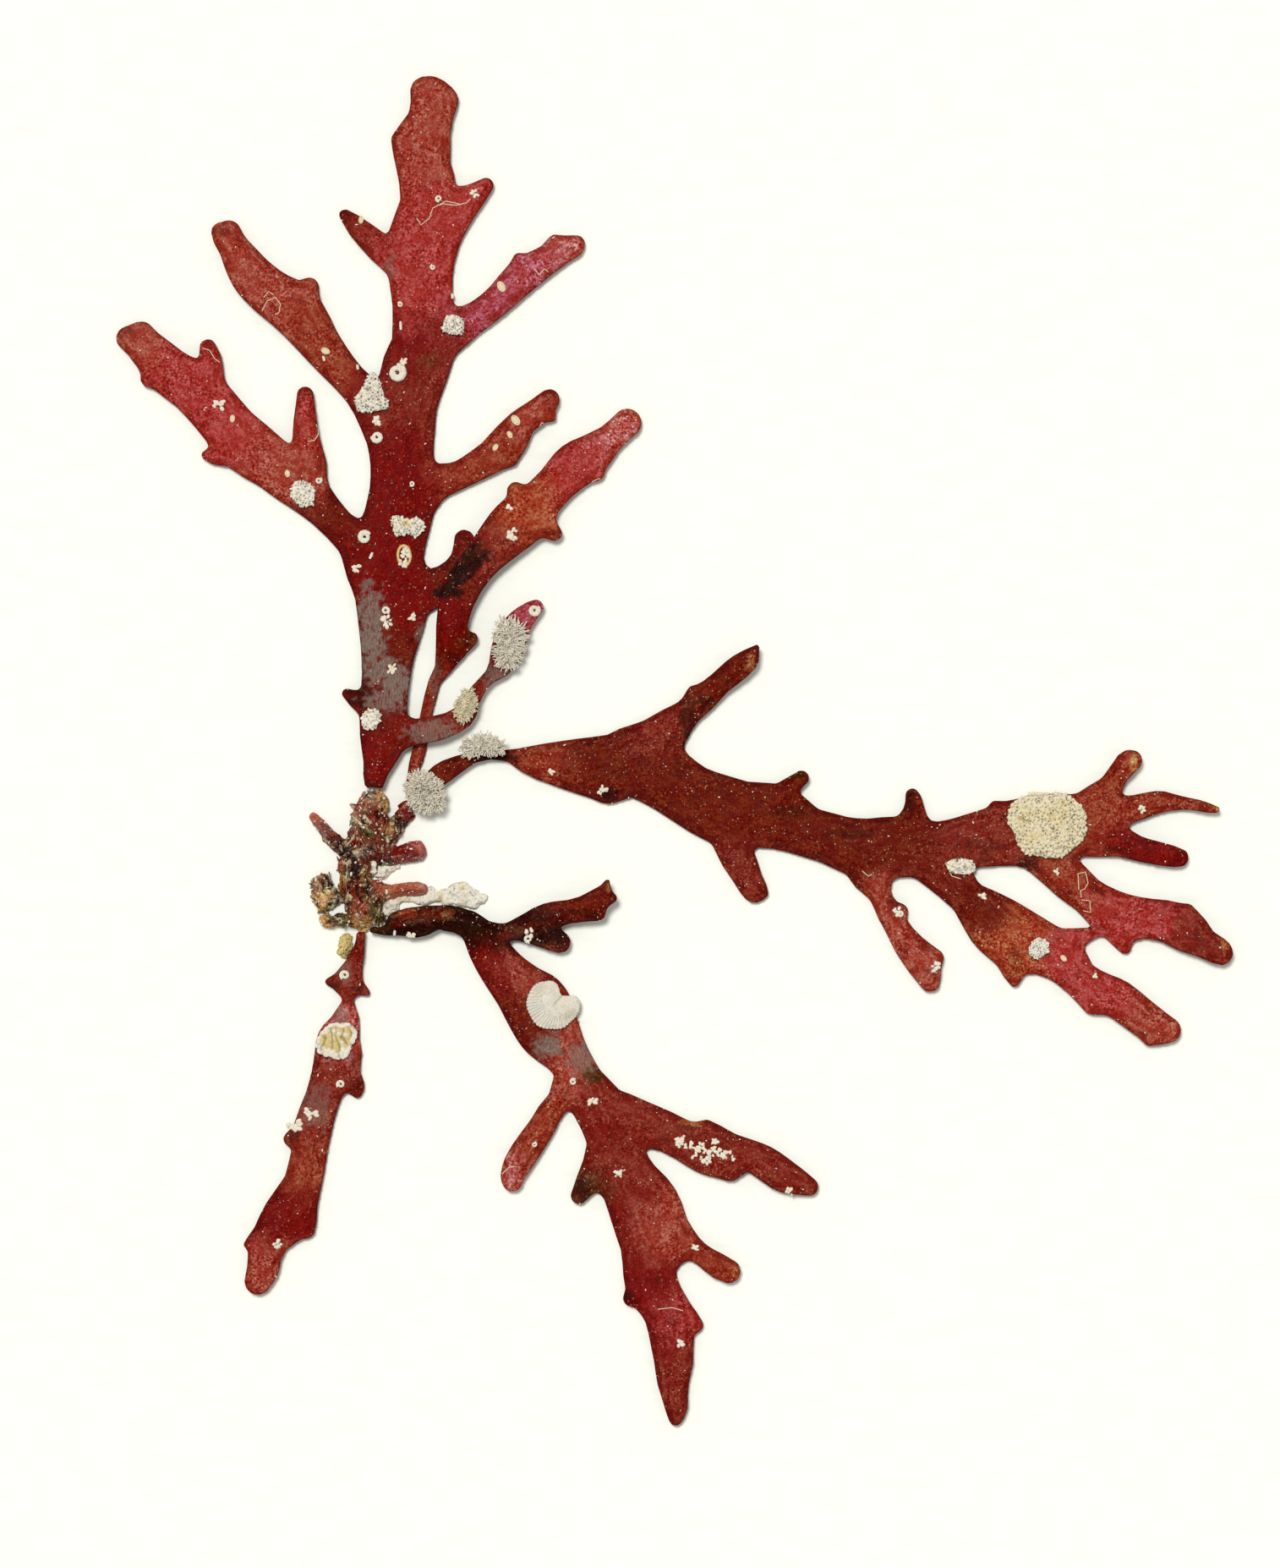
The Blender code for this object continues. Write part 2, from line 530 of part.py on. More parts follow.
def discs_of(branch):
    """The discs that a branch is swept from, one row each: x, y, radius, height of underside, thickness."""
    spans = len(branch.stations) - 1
    shares = np.linspace(0, spans, spans * STATION_STEPS + 1)
    curve = catmull_rom(branch.stations, shares)
    xs, ys = place(curve[:, 0], curve[:, 1])
    radii = curve[:, 2] * SCAN_PITCH
    run = np.concatenate([[0], np.cumsum(np.hypot(np.diff(xs), np.diff(ys)))])
    even = np.linspace(0, run[-1], max(2, round(run[-1] / DISC_STEP)) + 1)
    rise_at, rise = zip(*branch.rise)
    underside = np.interp(even / run[-1], rise_at, rise) * MM + CLEARANCE
    radius = np.interp(even, run, radii)
    # A narrow stalk is rounder than a blade, and so thicker.
    stalk = np.clip(2 * radius, MARGIN_THICKNESS, STALK_THICKNESS)
    narrow = np.clip((STALK_HALF_WIDTH - radius) / STALK_RANGE, 0, 1)
    full = branch.thickness + np.maximum(stalk - branch.thickness, 0) * narrow
    return np.column_stack([np.interp(even, run, xs), np.interp(even, run, ys), radius, underside, full])


def depth_in(discs, points):
    """How far each point lies inside the swept discs: above 0 inside them, below 0 outside."""
    depth = np.full(len(points), -1.0)
    for x, y, radius in discs[:, :3]:
        np.maximum(depth, radius - np.hypot(points[:, 0] - x, points[:, 1] - y), out=depth)
    return depth


def blended_depth(branches, points, web=WEB):
    """The depth inside all the branches together, with a web in each angle between two."""
    depths = np.array([depth_in(discs, points) for discs in branches])
    deepest = depths.max(axis=0)
    return deepest + web * np.log(np.exp((depths - deepest) / web).sum(axis=0))


def blended_heights(branches, points):
    """Underside and full thickness round each point, where the discs that it lies deepest in count most."""
    total = np.zeros((2, len(points)))
    weights = np.zeros(len(points))
    for x, y, radius, underside, full in np.vstack(branches):
        weight = np.exp((radius - np.hypot(points[:, 0] - x, points[:, 1] - y)) / BLEND)
        total += weight * np.array([[underside], [full]])
        weights += weight
    return total / weights


def area_in(loop):
    """The area that a closed line goes round."""
    x, y = loop.T
    return abs(np.dot(x, np.roll(y, -1)) - np.dot(y, np.roll(x, -1))) / 2


def outlines_of(depth_at, low, high):
    """The closed lines where depth_at is 0, the longest way round first and then the holes.

    They are found by cutting a relief of that height at its shore.
    """
    low = np.array(low) - 4 * RELIEF_STEP
    high = np.array(high) + 4 * RELIEF_STEP
    cells = np.ceil((high - low) / RELIEF_STEP).astype(int)
    relief = bmesh.new()
    bmesh.ops.create_grid(relief, x_segments=int(cells[0]), y_segments=int(cells[1]), size=0.5)
    centre = (low + high) / 2
    flat = np.array([vert.co[:2] for vert in relief.verts]) * (cells * RELIEF_STEP) + centre
    heights = depth_at(flat)
    for vert, (x, y), height in zip(relief.verts, flat, heights):
        vert.co = (x, y, height)
    bmesh.ops.triangulate(relief, faces=relief.faces)
    cut = bmesh.ops.bisect_plane(
        relief,
        geom=relief.verts[:] + relief.edges[:] + relief.faces[:],
        dist=1e-7,
        plane_co=(0, 0, 0),
        plane_no=(0, 0, 1),
        clear_inner=True,
    )
    shore = [item for item in cut["geom_cut"] if isinstance(item, bmesh.types.BMEdge)]
    beside = {}
    for edge in shore:
        first, second = edge.verts
        beside.setdefault(first, []).append(second)
        beside.setdefault(second, []).append(first)
    loops = []
    while beside:
        vert = next(iter(beside))
        loop = []
        while vert is not None:
            loop.append(vert.co.xy.copy())
            ahead = beside.pop(vert)
            vert = next((other for other in ahead if other in beside), None)
        loops.append(np.array(loop))
    relief.free()
    loops.sort(key=area_in, reverse=True)
    return loops[:1] + [loop for loop in loops[1:] if area_in(loop) > LEAST_HOLE]


def lies_in(loop, x, y):
    """Whether a point lies inside a closed line: a ray from it crosses the line an odd number of times."""
    before = np.roll(loop, 1, axis=0)
    above = (loop[:, 1] > y) != (before[:, 1] > y)
    start, end = before[above], loop[above]
    crossing = start[:, 0] + (y - start[:, 1]) / (end[:, 1] - start[:, 1]) * (end[:, 0] - start[:, 0])
    return np.count_nonzero(crossing > x) % 2 == 1


def thinned(line, slack, longest):
    """The line with only the points that keep it within slack of its shape, and no edge over longest."""
    chord = line[-1] - line[0]
    length = np.hypot(*chord)
    along = (line - line[0]) @ chord / max(length, 1e-9) ** 2
    away = np.hypot(*(line - line[0] - np.clip(along, 0, 1)[:, None] * chord).T)
    farthest = int(away.argmax())
    if away[farthest] <= slack and length <= longest:
        return [line[0]]
    if away[farthest] <= slack:
        farthest = len(line) // 2
    if farthest in (0, len(line) - 1):
        return [line[0]]
    return thinned(line[: farthest + 1], slack, longest) + thinned(line[farthest:], slack, longest)


def thinned_loop(loop, slack, longest):
    half = len(loop) // 2
    closed = np.vstack([loop, loop[:1]])
    first = thinned(closed[: half + 1], slack, longest)
    return np.array(first + thinned(closed[half:], slack, longest))


def spread_points(candidates, taken, apart):
    """The candidates that keep their distance from those already taken, in order."""
    kept = list(taken)
    for point in candidates:
        if np.hypot(*(np.array(kept) - point).T).min() >= apart:
            kept.append(point)
    return kept[len(taken) :]


def sheet_of(loops, inside):
    """A flat sheet of even triangles inside the first line and outside the others, as a bmesh."""
    points = []
    edges = []
    for loop in loops:
        first = len(points)
        points += [Vector(point) for point in loop]
        edges += [(first + i, first + (i + 1) % len(loop)) for i in range(len(loop))]
    points += [Vector(point) for point in inside]
    verts, _, faces, *_ = delaunay_2d_cdt(points, edges, [], INSIDE_OUTLINE, 1e-6)
    sheet = bmesh.new()
    made = [sheet.verts.new((point.x, point.y, 0)) for point in verts]
    for face in faces:
        sheet.faces.new([made[i] for i in face])
    for hole in loops[1:]:
        filling = [face for face in sheet.faces if lies_in(hole, *face.calc_center_median().xy)]
        bmesh.ops.delete(sheet, geom=filling, context="FACES")
    bmesh.ops.delete(sheet, geom=[vert for vert in sheet.verts if not vert.link_faces], context="VERTS")
    bmesh.ops.recalc_face_normals(sheet, faces=sheet.faces)
    if sum(face.normal.z for face in sheet.faces) < 0:
        bmesh.ops.reverse_faces(sheet, faces=sheet.faces)
    return sheet


def lattice(low, high, spacing):
    """Points in rows, each row shifted by half a step, that fill the box."""
    rows = []
    for row, y in enumerate(np.arange(low[1], high[1], spacing * math.sqrt(0.75))):
        xs = np.arange(low[0] + (row % 2) * spacing / 2, high[0], spacing)
        rows.extend((x, y) for x in xs)
    return np.array(rows)


def filled(depth_at, loops, rib_points, spacing):
    """A sheet inside the closed lines, with points along the ribs and an even lattice between."""
    rim = np.vstack(loops)
    ribs = spread_points(rib_points, rim, RIB_SHARE * spacing)
    rows = lattice(rim.min(axis=0), rim.max(axis=0), spacing)
    rows = rows[depth_at(rows) > RIM_SHARE * spacing]
    return sheet_of(loops, ribs + spread_points(rows, [*rim, *ribs], LATTICE_SHARE * spacing))


def coordinates(mesh):
    return np.array([vert.co[:2] for vert in mesh.verts])


def waves(points, depth):
    """How far the margin is lifted: waves that fade within a few millimetres of it."""
    x, y = (points * (math.tau / WAVE_LENGTH)).T
    ripple = np.sin(x + 1.3 * np.sin(0.6 * y)) * np.cos(0.8 * y - 0.4 * x) + 0.5 * np.sin(1.7 * y + 0.9 * x)
    near_margin = np.exp(-np.maximum(depth, 0) / WAVE_FADE)
    return WAVE_HEIGHT * near_margin * np.clip(0.5 + 0.4 * ripple, 0, 1)


def material(name, colour, roughness):
    made = bpy.data.materials.new(name)
    made.use_nodes = True
    shader = made.node_tree.nodes["Principled BSDF"]
    shader.inputs["Base Color"].default_value = (*colour, 1)
    shader.inputs["Roughness"].default_value = roughness
    shader.inputs["Metallic"].default_value = 0
    return made


def node(name, mesh, collection, finish):
    """A bmesh made the object of one node."""
    data = bpy.data.meshes.new(name)
    mesh.to_mesh(data)
    mesh.free()
    made = bpy.data.objects.new(name, data)
    data.materials.append(finish)
    collection.objects.link(made)
    return made


def frond(name, branches, holdfast, collection, finish):
    """One frond: its outline cut from the branches, a waved sheet inside it, and its thickness."""
    swept = [discs_of(branch) for branch in branches.values()]

    def depth_at(points):
        clear_of_clump = -depth_in(holdfast, points) - GAP
        return np.minimum(blended_depth(swept, points), clear_of_clump)

    discs = np.vstack(swept)
    low = (discs[:, :2] - discs[:, 2:3]).min(axis=0)
    high = (discs[:, :2] + discs[:, 2:3]).max(axis=0)
    loops = [thinned_loop(loop, OUTLINE_SLACK, LONGEST_EDGE) for loop in outlines_of(depth_at, low, high)]
    stride = round(BLADE_SPACING / DISC_STEP / 1.6)
    ribs = np.vstack([line[::stride, :2] for line in swept])
    ribs = ribs[depth_at(ribs) > RIB_DEPTH]
    sheet = filled(depth_at, loops, ribs, BLADE_SPACING)

    points = coordinates(sheet)
    depth = depth_at(points)
    underside, full = blended_heights(swept, points)
    inward = np.clip(depth / MARGIN_WIDTH, 0, 1) ** 0.7
    thickness = MARGIN_THICKNESS + (full - MARGIN_THICKNESS) * inward
    lift = waves(points, depth) * np.clip(underside / (0.5 * MM) + 0.35, 0, 1)
    heights = underside + lift + thickness / 2
    for vert, height in zip(sheet.verts, heights):
        vert.co.z = height
    made = node(name, sheet, collection, finish)

    thickest = float(thickness.max())
    group = made.vertex_groups.new(name="thickness")
    for index, value in enumerate(thickness):
        group.add([index], float(value) / thickest, "REPLACE")
    solid = made.modifiers.new("Thickness", "SOLIDIFY")
    solid.thickness = thickest
    solid.offset = 0
    solid.vertex_group = group.name
    return made


def raised_solid(sheet, bottom_at, top_at):
    """A flat sheet made a closed solid between the heights that the two functions give."""
    spread = bmesh.ops.extrude_face_region(sheet, geom=sheet.faces[:])
    upper = [item for item in spread["geom"] if isinstance(item, bmesh.types.BMVert)]
    is_upper = set(upper)
    lower = [vert for vert in sheet.verts if vert not in is_upper]
    for verts, height_at in ((upper, top_at), (lower, bottom_at)):
        heights = height_at(np.array([vert.co[:2] for vert in verts]))
        for vert, height in zip(verts, heights):
            vert.co.z = height
    bmesh.ops.recalc_face_normals(sheet, faces=sheet.faces)
    return sheet


def lobed_sheet(lobes, spacing, web):
    """Some lobes as discs in metres, the depth inside them, and a flat sheet with their joined outline."""
    discs = np.array([(*place(x, y), radius * SCAN_PITCH) for x, y, radius in lobes])

    def depth_at(points):
        return blended_depth([disc[None] for disc in discs], points, web)

    low = (discs[:, :2] - discs[:, 2:3]).min(axis=0) - web
    high = (discs[:, :2] + discs[:, 2:3]).max(axis=0) + web
    outline = outlines_of(depth_at, low, high)[0]
    outline = thinned_loop(outline, CRUST_OUTLINE_SLACK, CRUST_EDGE_STRETCH * spacing)
    middles = discs[depth_at(discs[:, :2]) > RIM_SHARE * spacing, :2]
    return discs, depth_at, filled(depth_at, [outline], middles, spacing)


def clump(collection, finish):
    """The holdfast: a heap of knobs with a flat underside on the surface."""
    discs, depth_at, sheet = lobed_sheet(HOLDFAST_LUMPS, CLUMP_SPACING, CLUMP_WEB)
    widest = discs[:, 2].max()

    def top_at(points):
        knobs = np.zeros(len(points))
        for x, y, radius in discs:
            away = np.hypot(points[:, 0] - x, points[:, 1] - y)
            knobs = np.maximum(knobs, np.sqrt(np.maximum(radius**2 - away**2, 0)))
        body = np.clip(depth_at(points), 0, widest)
        share = (KNOB_SHARE * knobs + (1 - KNOB_SHARE) * body) / widest
        return HOLDFAST_EDGE + (HOLDFAST_HEIGHT - HOLDFAST_EDGE) * share

    def surface_at(points):
        return np.zeros(len(points))

    return node("holdfast", raised_solid(sheet, surface_at, top_at), collection, finish)


def top_of(host, points):
    """The height of the host's upper surface at each point, and its highest there for a point beyond it."""
    hits = [host.ray_cast(Vector((*point, ABOVE)), Vector((0, 0, -1)))[0] for point in points]
    highest = max(hit.z for hit in hits if hit)
    return np.array([hit.z if hit else highest for hit in hits])


def crust(name, growth, hosts, collection, finish):
    """A crust or tuft: a low dome whose underside follows the frond that it grows on."""
    _, depth_at, sheet = lobed_sheet(growth.lobes, CRUST_SPACING, CRUST_WEB)
    deepest = depth_at(coordinates(sheet)).max()

    def bottom_at(points):
        if growth.host is None:
            return np.full(len(points), CLEARANCE)
        return top_of(hosts[growth.host], points) + GAP

    def top_at(points):
        dome = np.sqrt(np.clip(depth_at(points) / deepest, 0, 1))
        return bottom_at(points) + growth.height * (CRUST_EDGE_SHARE + (1 - CRUST_EDGE_SHARE) * dome)

    return node(name, raised_solid(sheet, bottom_at, top_at), collection, finish)


def worm_tube(name, spot, host, collection, finish):
    """A coiled tube, as one closed ring lying on its frond."""
    x, y, radius = spot
    middle = np.array(place(x, y))
    half_thickness = TUBE_SHARE * radius * SCAN_PITCH
    ring = radius * SCAN_PITCH - half_thickness
    turns = np.linspace(0, math.tau, TUBE_TURN_STEPS, endpoint=False)
    around = middle + (ring + half_thickness) * np.column_stack([np.cos(turns), np.sin(turns)])
    height = top_of(host, np.vstack([middle, around])).max() + GAP + half_thickness
    coil = bmesh.new()
    bmesh.ops.create_circle(coil, segments=TUBE_SIDES, radius=half_thickness)
    for vert in coil.verts:
        vert.co = (vert.co.x + ring, 0, vert.co.y)
    bmesh.ops.spin(
        coil,
        geom=coil.verts[:] + coil.edges[:],
        cent=(0, 0, 0),
        axis=(0, 0, 1),
        angle=math.tau,
        steps=TUBE_TURN_STEPS,
        use_merge=True,
    )
    bmesh.ops.remove_doubles(coil, verts=coil.verts, dist=1e-6)
    bmesh.ops.recalc_face_normals(coil, faces=coil.faces)
    bmesh.ops.translate(coil, verts=coil.verts, vec=(*middle, height))
    return node(name, coil, collection, finish)


def solid_tree(made):
    """What a frond's finished surface looks like to a ray."""
    graph = bpy.context.evaluated_depsgraph_get()
    return BVHTree.FromObject(made, graph)


def main():
    for old in list(bpy.data.objects):
        bpy.data.objects.remove(old, do_unlink=True)
    collection = bpy.data.collections.new("osmundea_spectabilis")
    bpy.context.scene.collection.children.link(collection)

    lumps = np.array([(*place(x, y), radius * SCAN_PITCH) for x, y, radius in HOLDFAST_LUMPS])
    clump(collection, material("holdfast_brown", HOLDFAST_COLOUR, 0.75))
    grown = {}
    for name, (branches, colour) in FRONDS.items():
        grown[name] = frond(name, branches, lumps, collection, material(name + "_red", colour, 0.45))
    bpy.context.view_layer.update()
    trees = {name: solid_tree(made) for name, made in grown.items()}
    for name, growth in CRUSTS.items():
        crust(name, growth, trees, collection, material(name + "_finish", growth.colour, 0.85))
    for name, (spot, host) in WORM_TUBES.items():
        worm_tube(name, spot, trees[host], collection, material(name + "_finish", WHITE, 0.6))


main()
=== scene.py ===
"""The looks of a pressed red seaweed: its fronds, its holdfast and all that grows on them.

Places and radii in the tables are dots of the flat scan, at 300 to the inch. A mesh is shaped in
millimetres, and is turned into metres when its piece is finished.
"""

import math
import random
from itertools import product
from typing import NamedTuple

import bmesh
import bpy
import numpy as np
from mathutils import Euler, Matrix, Vector
from mathutils.bvhtree import BVHTree
from mathutils.kdtree import KDTree


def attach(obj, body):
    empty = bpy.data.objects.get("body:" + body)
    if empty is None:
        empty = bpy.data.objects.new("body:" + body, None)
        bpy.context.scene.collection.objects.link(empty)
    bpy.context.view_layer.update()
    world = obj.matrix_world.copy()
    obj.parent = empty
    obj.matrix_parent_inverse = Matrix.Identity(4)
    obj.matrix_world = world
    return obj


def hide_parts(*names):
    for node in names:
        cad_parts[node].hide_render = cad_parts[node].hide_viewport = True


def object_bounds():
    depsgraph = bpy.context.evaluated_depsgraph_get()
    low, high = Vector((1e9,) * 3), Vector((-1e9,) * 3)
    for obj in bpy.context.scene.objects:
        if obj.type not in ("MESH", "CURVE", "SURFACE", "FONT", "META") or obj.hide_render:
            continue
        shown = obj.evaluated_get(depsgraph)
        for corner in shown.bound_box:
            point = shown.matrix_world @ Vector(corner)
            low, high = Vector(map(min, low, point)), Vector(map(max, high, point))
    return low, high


bl_info = {
    "name": "Pressed red seaweed",
    "version": (1, 0, 0),
    "blender": (4, 5, 0),
    "location": "View3D > Sidebar > Seaweed",
    "description": "Dresses a pressed red seaweed with its blades, holdfast, crusts, shells and tufts",
    "category": "Object",
}

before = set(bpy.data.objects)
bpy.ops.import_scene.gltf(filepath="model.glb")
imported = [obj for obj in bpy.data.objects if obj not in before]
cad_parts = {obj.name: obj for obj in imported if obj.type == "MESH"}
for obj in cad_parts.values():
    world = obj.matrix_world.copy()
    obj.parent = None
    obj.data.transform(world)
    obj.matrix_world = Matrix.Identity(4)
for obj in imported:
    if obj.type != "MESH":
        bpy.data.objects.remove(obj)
CAD_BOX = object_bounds()

MM = 0.001
SCAN_PITCH = 25.4 * MM / 300
SCAN_WIDTH = 1514
SCAN_HEIGHT = 1854
# The dot of the scan that is the middle of the plant.
SCAN_CENTRE_X = 797.2
SCAN_CENTRE_Y = 887.9

# Points whose normal's height is below this face down, and keep their place.
FACES_DOWN = -0.3
ALL_WAYS = -2
# A point whose normal's height is within this of level lies on a rim.
LEVEL = 0.45
# No body comes closer to the floor than this, nor any hair or flake on it, in mm.
BODY_GAP = 0.02
TIP_GAP = 0.01
# How far the pieces of one kind are from the random start of another.
TUFT_SEED = 1
TUBE_SEED = 2
SMALL_SEED = 3
# What the red skin's colour is multiplied with: between grains, on them, in a streak and at an edge.
GROUND_DYE = (0.6, 0.14, 0.1)
GRAIN_DYE = (1.42, 2.3, 2.4)
STREAK_DYE = (0.82, 0.32, 0.24)
EDGE_DYE = (0.72, 0.44, 0.3)
CLUMP_DYE = (1.22, 1.45, 1.25)
# Distance from a margin, in mm, that stands for none near.
NO_MARGIN = 5.0
# How far noise moves the tones of a frond, and of a clump.
FROND_DRIFT = 22
CLUMP_DRIFT = 4
# The lattice of a crust's cells: how far each strays, and the distance between rows, as shares of its pitch.
JITTER = 0.3
ROW_STEP = 0.87
# Flutes and ribs in a full turn, and the pitch of the fan's knobs in mm.
FLUTES = 58
FAN_RIBS = 30
FAN_PITCH = 0.5
# Sizes of the fine white grains in mm, how long they are, how many lie on the blades, how many lie on the
# old clumps as painted glints, and how much coarser those of the clumps are.
GRAIN_SIZES = (0.03, 0.035, 0.04, 0.045, 0.05, 0.055, 0.09)
GRAIN_STRETCH = (1.2, 1.4, 2.2)
WHITE_GRAINS = 1500
CLUMP_GLINT_GRAINS = 190
CLUMP_COARSENESS = 1.8
# How far the light leans from straight above, in degrees round X and Y.
SUN_LEAN = (-15, -9)
# Half the side of the paper, in metres.
PAPER_REACH = 1.5


def tone(red, green, blue):
    """A colour as a screen shows it, from 0 to 255 a channel, in linear light."""
    shares = (channel / 255 for channel in (red, green, blue))
    return tuple(share / 12.92 if share < 0.04045 else ((share + 0.055) / 1.055) ** 2.4 for share in shares)


def colour_property(name, description, default):
    return bpy.props.FloatVectorProperty(
        name=name, description=description, subtype="COLOR", size=3, min=0, max=1, default=default
    )


def length_property(name, description, default):
    return bpy.props.FloatProperty(
        name=name, description=description, unit="LENGTH", min=0, precision=5, default=default
    )


def number_property(name, description, default, subtype="NONE"):
    return bpy.props.FloatProperty(
        name=name, description=description, subtype=subtype, min=0, default=default
    )


class FrondLook(bpy.types.PropertyGroup):
    """Colours and surface of the fronds."""

    deep_red: colour_property("Deep red", "The wet-looking red of the old axis", tone(118, 6, 2))
    maroon: colour_property("Maroon", "The brown red of a dried blade", tone(108, 28, 6))
    red_brown: colour_property("Red brown", "Stalks and the feet of branches", tone(132, 46, 32))
    rosy_brown: colour_property("Rosy brown", "Young blades near the tips", tone(164, 78, 62))
    rose: colour_property("Rose", "The clear red of a blade's middle", tone(170, 64, 60))
    mauve: colour_property("Mauve", "Faded pink at a tip", tone(172, 80, 94))
    pale_rose: colour_property("Pale rose", "The palest tips", tone(188, 112, 108))
    brick: colour_property("Brick", "Orange red patches", tone(166, 82, 50))
    near_black: colour_property("Near black", "Old stem and folded necks", tone(40, 14, 4))
    film: colour_property("Grey film", "The dull film over the axis", tone(134, 115, 102))
    tan: colour_property("Tan", "Bleached rims and specks", tone(196, 150, 96))
    olive: colour_property("Olive", "Green-brown blotches", tone(78, 66, 22))
    umber: colour_property("Umber", "The dry brown of the old clump", tone(100, 54, 30))
    russet: colour_property("Russet", "The dull red brown of a branch", tone(150, 64, 42))
    margin_width: length_property("Margin width", "Width of the dark line along every margin", 0.17 * MM)
    grain: length_property("Grain", "Size of the fine grains in the blade", 0.24 * MM)
    voxel: length_property("Voxel", "Size of the even mesh the blades are made of", 0.17 * MM)
    wrinkle: length_property("Wrinkle height", "Height of the fine wrinkles of drying", 0.05 * MM)


class GrowthLook(bpy.types.PropertyGroup):
    """Colours and sizes of what grows on the fronds."""

    cream: colour_property("Cream", "Crust cells and sponges", tone(228, 216, 182))
    white: colour_property("White", "Lime of shells and tubes", tone(232, 226, 210))
    grey: colour_property("Grey", "Matted tufts", tone(236, 229, 211))
    yellow: colour_property("Yellow cream", "Sponge and the ribs of the fan", tone(214, 190, 122))
    # Painted shade: the colour that pits and hollows of the growths are darkened towards, also the colour of
    # their fine dark grains.
    pit_shade: colour_property("Pit", "The dark mouth of a crust cell", tone(128, 108, 80))
    voxel: length_property("Voxel", "Size of the even mesh of the crusts", 0.085 * MM)
    hair: length_property("Hair", "Thickness of a hair of a tuft at its foot", 0.15 * MM)
    seed: bpy.props.IntProperty(name="Seed", description="Starts every random choice", default=7)


class StageLook(bpy.types.PropertyGroup):
    """The paper, the light and the camera."""

    paper: colour_property("Paper", "Colour of the sheet", (0.955, 0.96, 0.865))
    distance: length_property("Distance", "From the camera to the blades", 0.872)
    lens: number_property("Lens", "Focal length in mm", 200)
    sky: number_property("Sky", "Strength of the even light", 0.42)
    sun: number_property("Sun", "Strength of the light from one side", 2.3)
    softness: number_property("Softness", "How wide that light is", math.radians(14), "ANGLE")


class Tone(NamedTuple):
    """A place on a frond, how far its tone reaches, and the tone."""

    x: float
    y: float
    reach: float
    tone: str


class Stain(NamedTuple):
    """A stain with an uneven edge: its middle, half widths, strength and tone."""

    x: float
    y: float
    half_width: float
    half_height: float
    strength: float
    tone: str = "film"


class Spot(NamedTuple):
    """A small round growth: its middle and its radius."""

    x: float
    y: float
    radius: float

    @property
    def reach(self):
        """The radius in millimetres."""
        return self.radius * SCAN_PITCH / MM


def tones(**places):
    return tuple(Tone(*place, name) for name, row in places.items() for place in row)


def stains(*rows):
    return tuple(Stain(*row) for row in rows)


def spots(*rows):
    return tuple(Spot(*row) for row in rows)


class Frond(NamedTuple):
    """How deep a frond's lines are, how thick its gold specks lie, and its tones, stains and dull films."""

    striae: float
    specked: float
    tones: tuple
    stains: tuple
    films: tuple


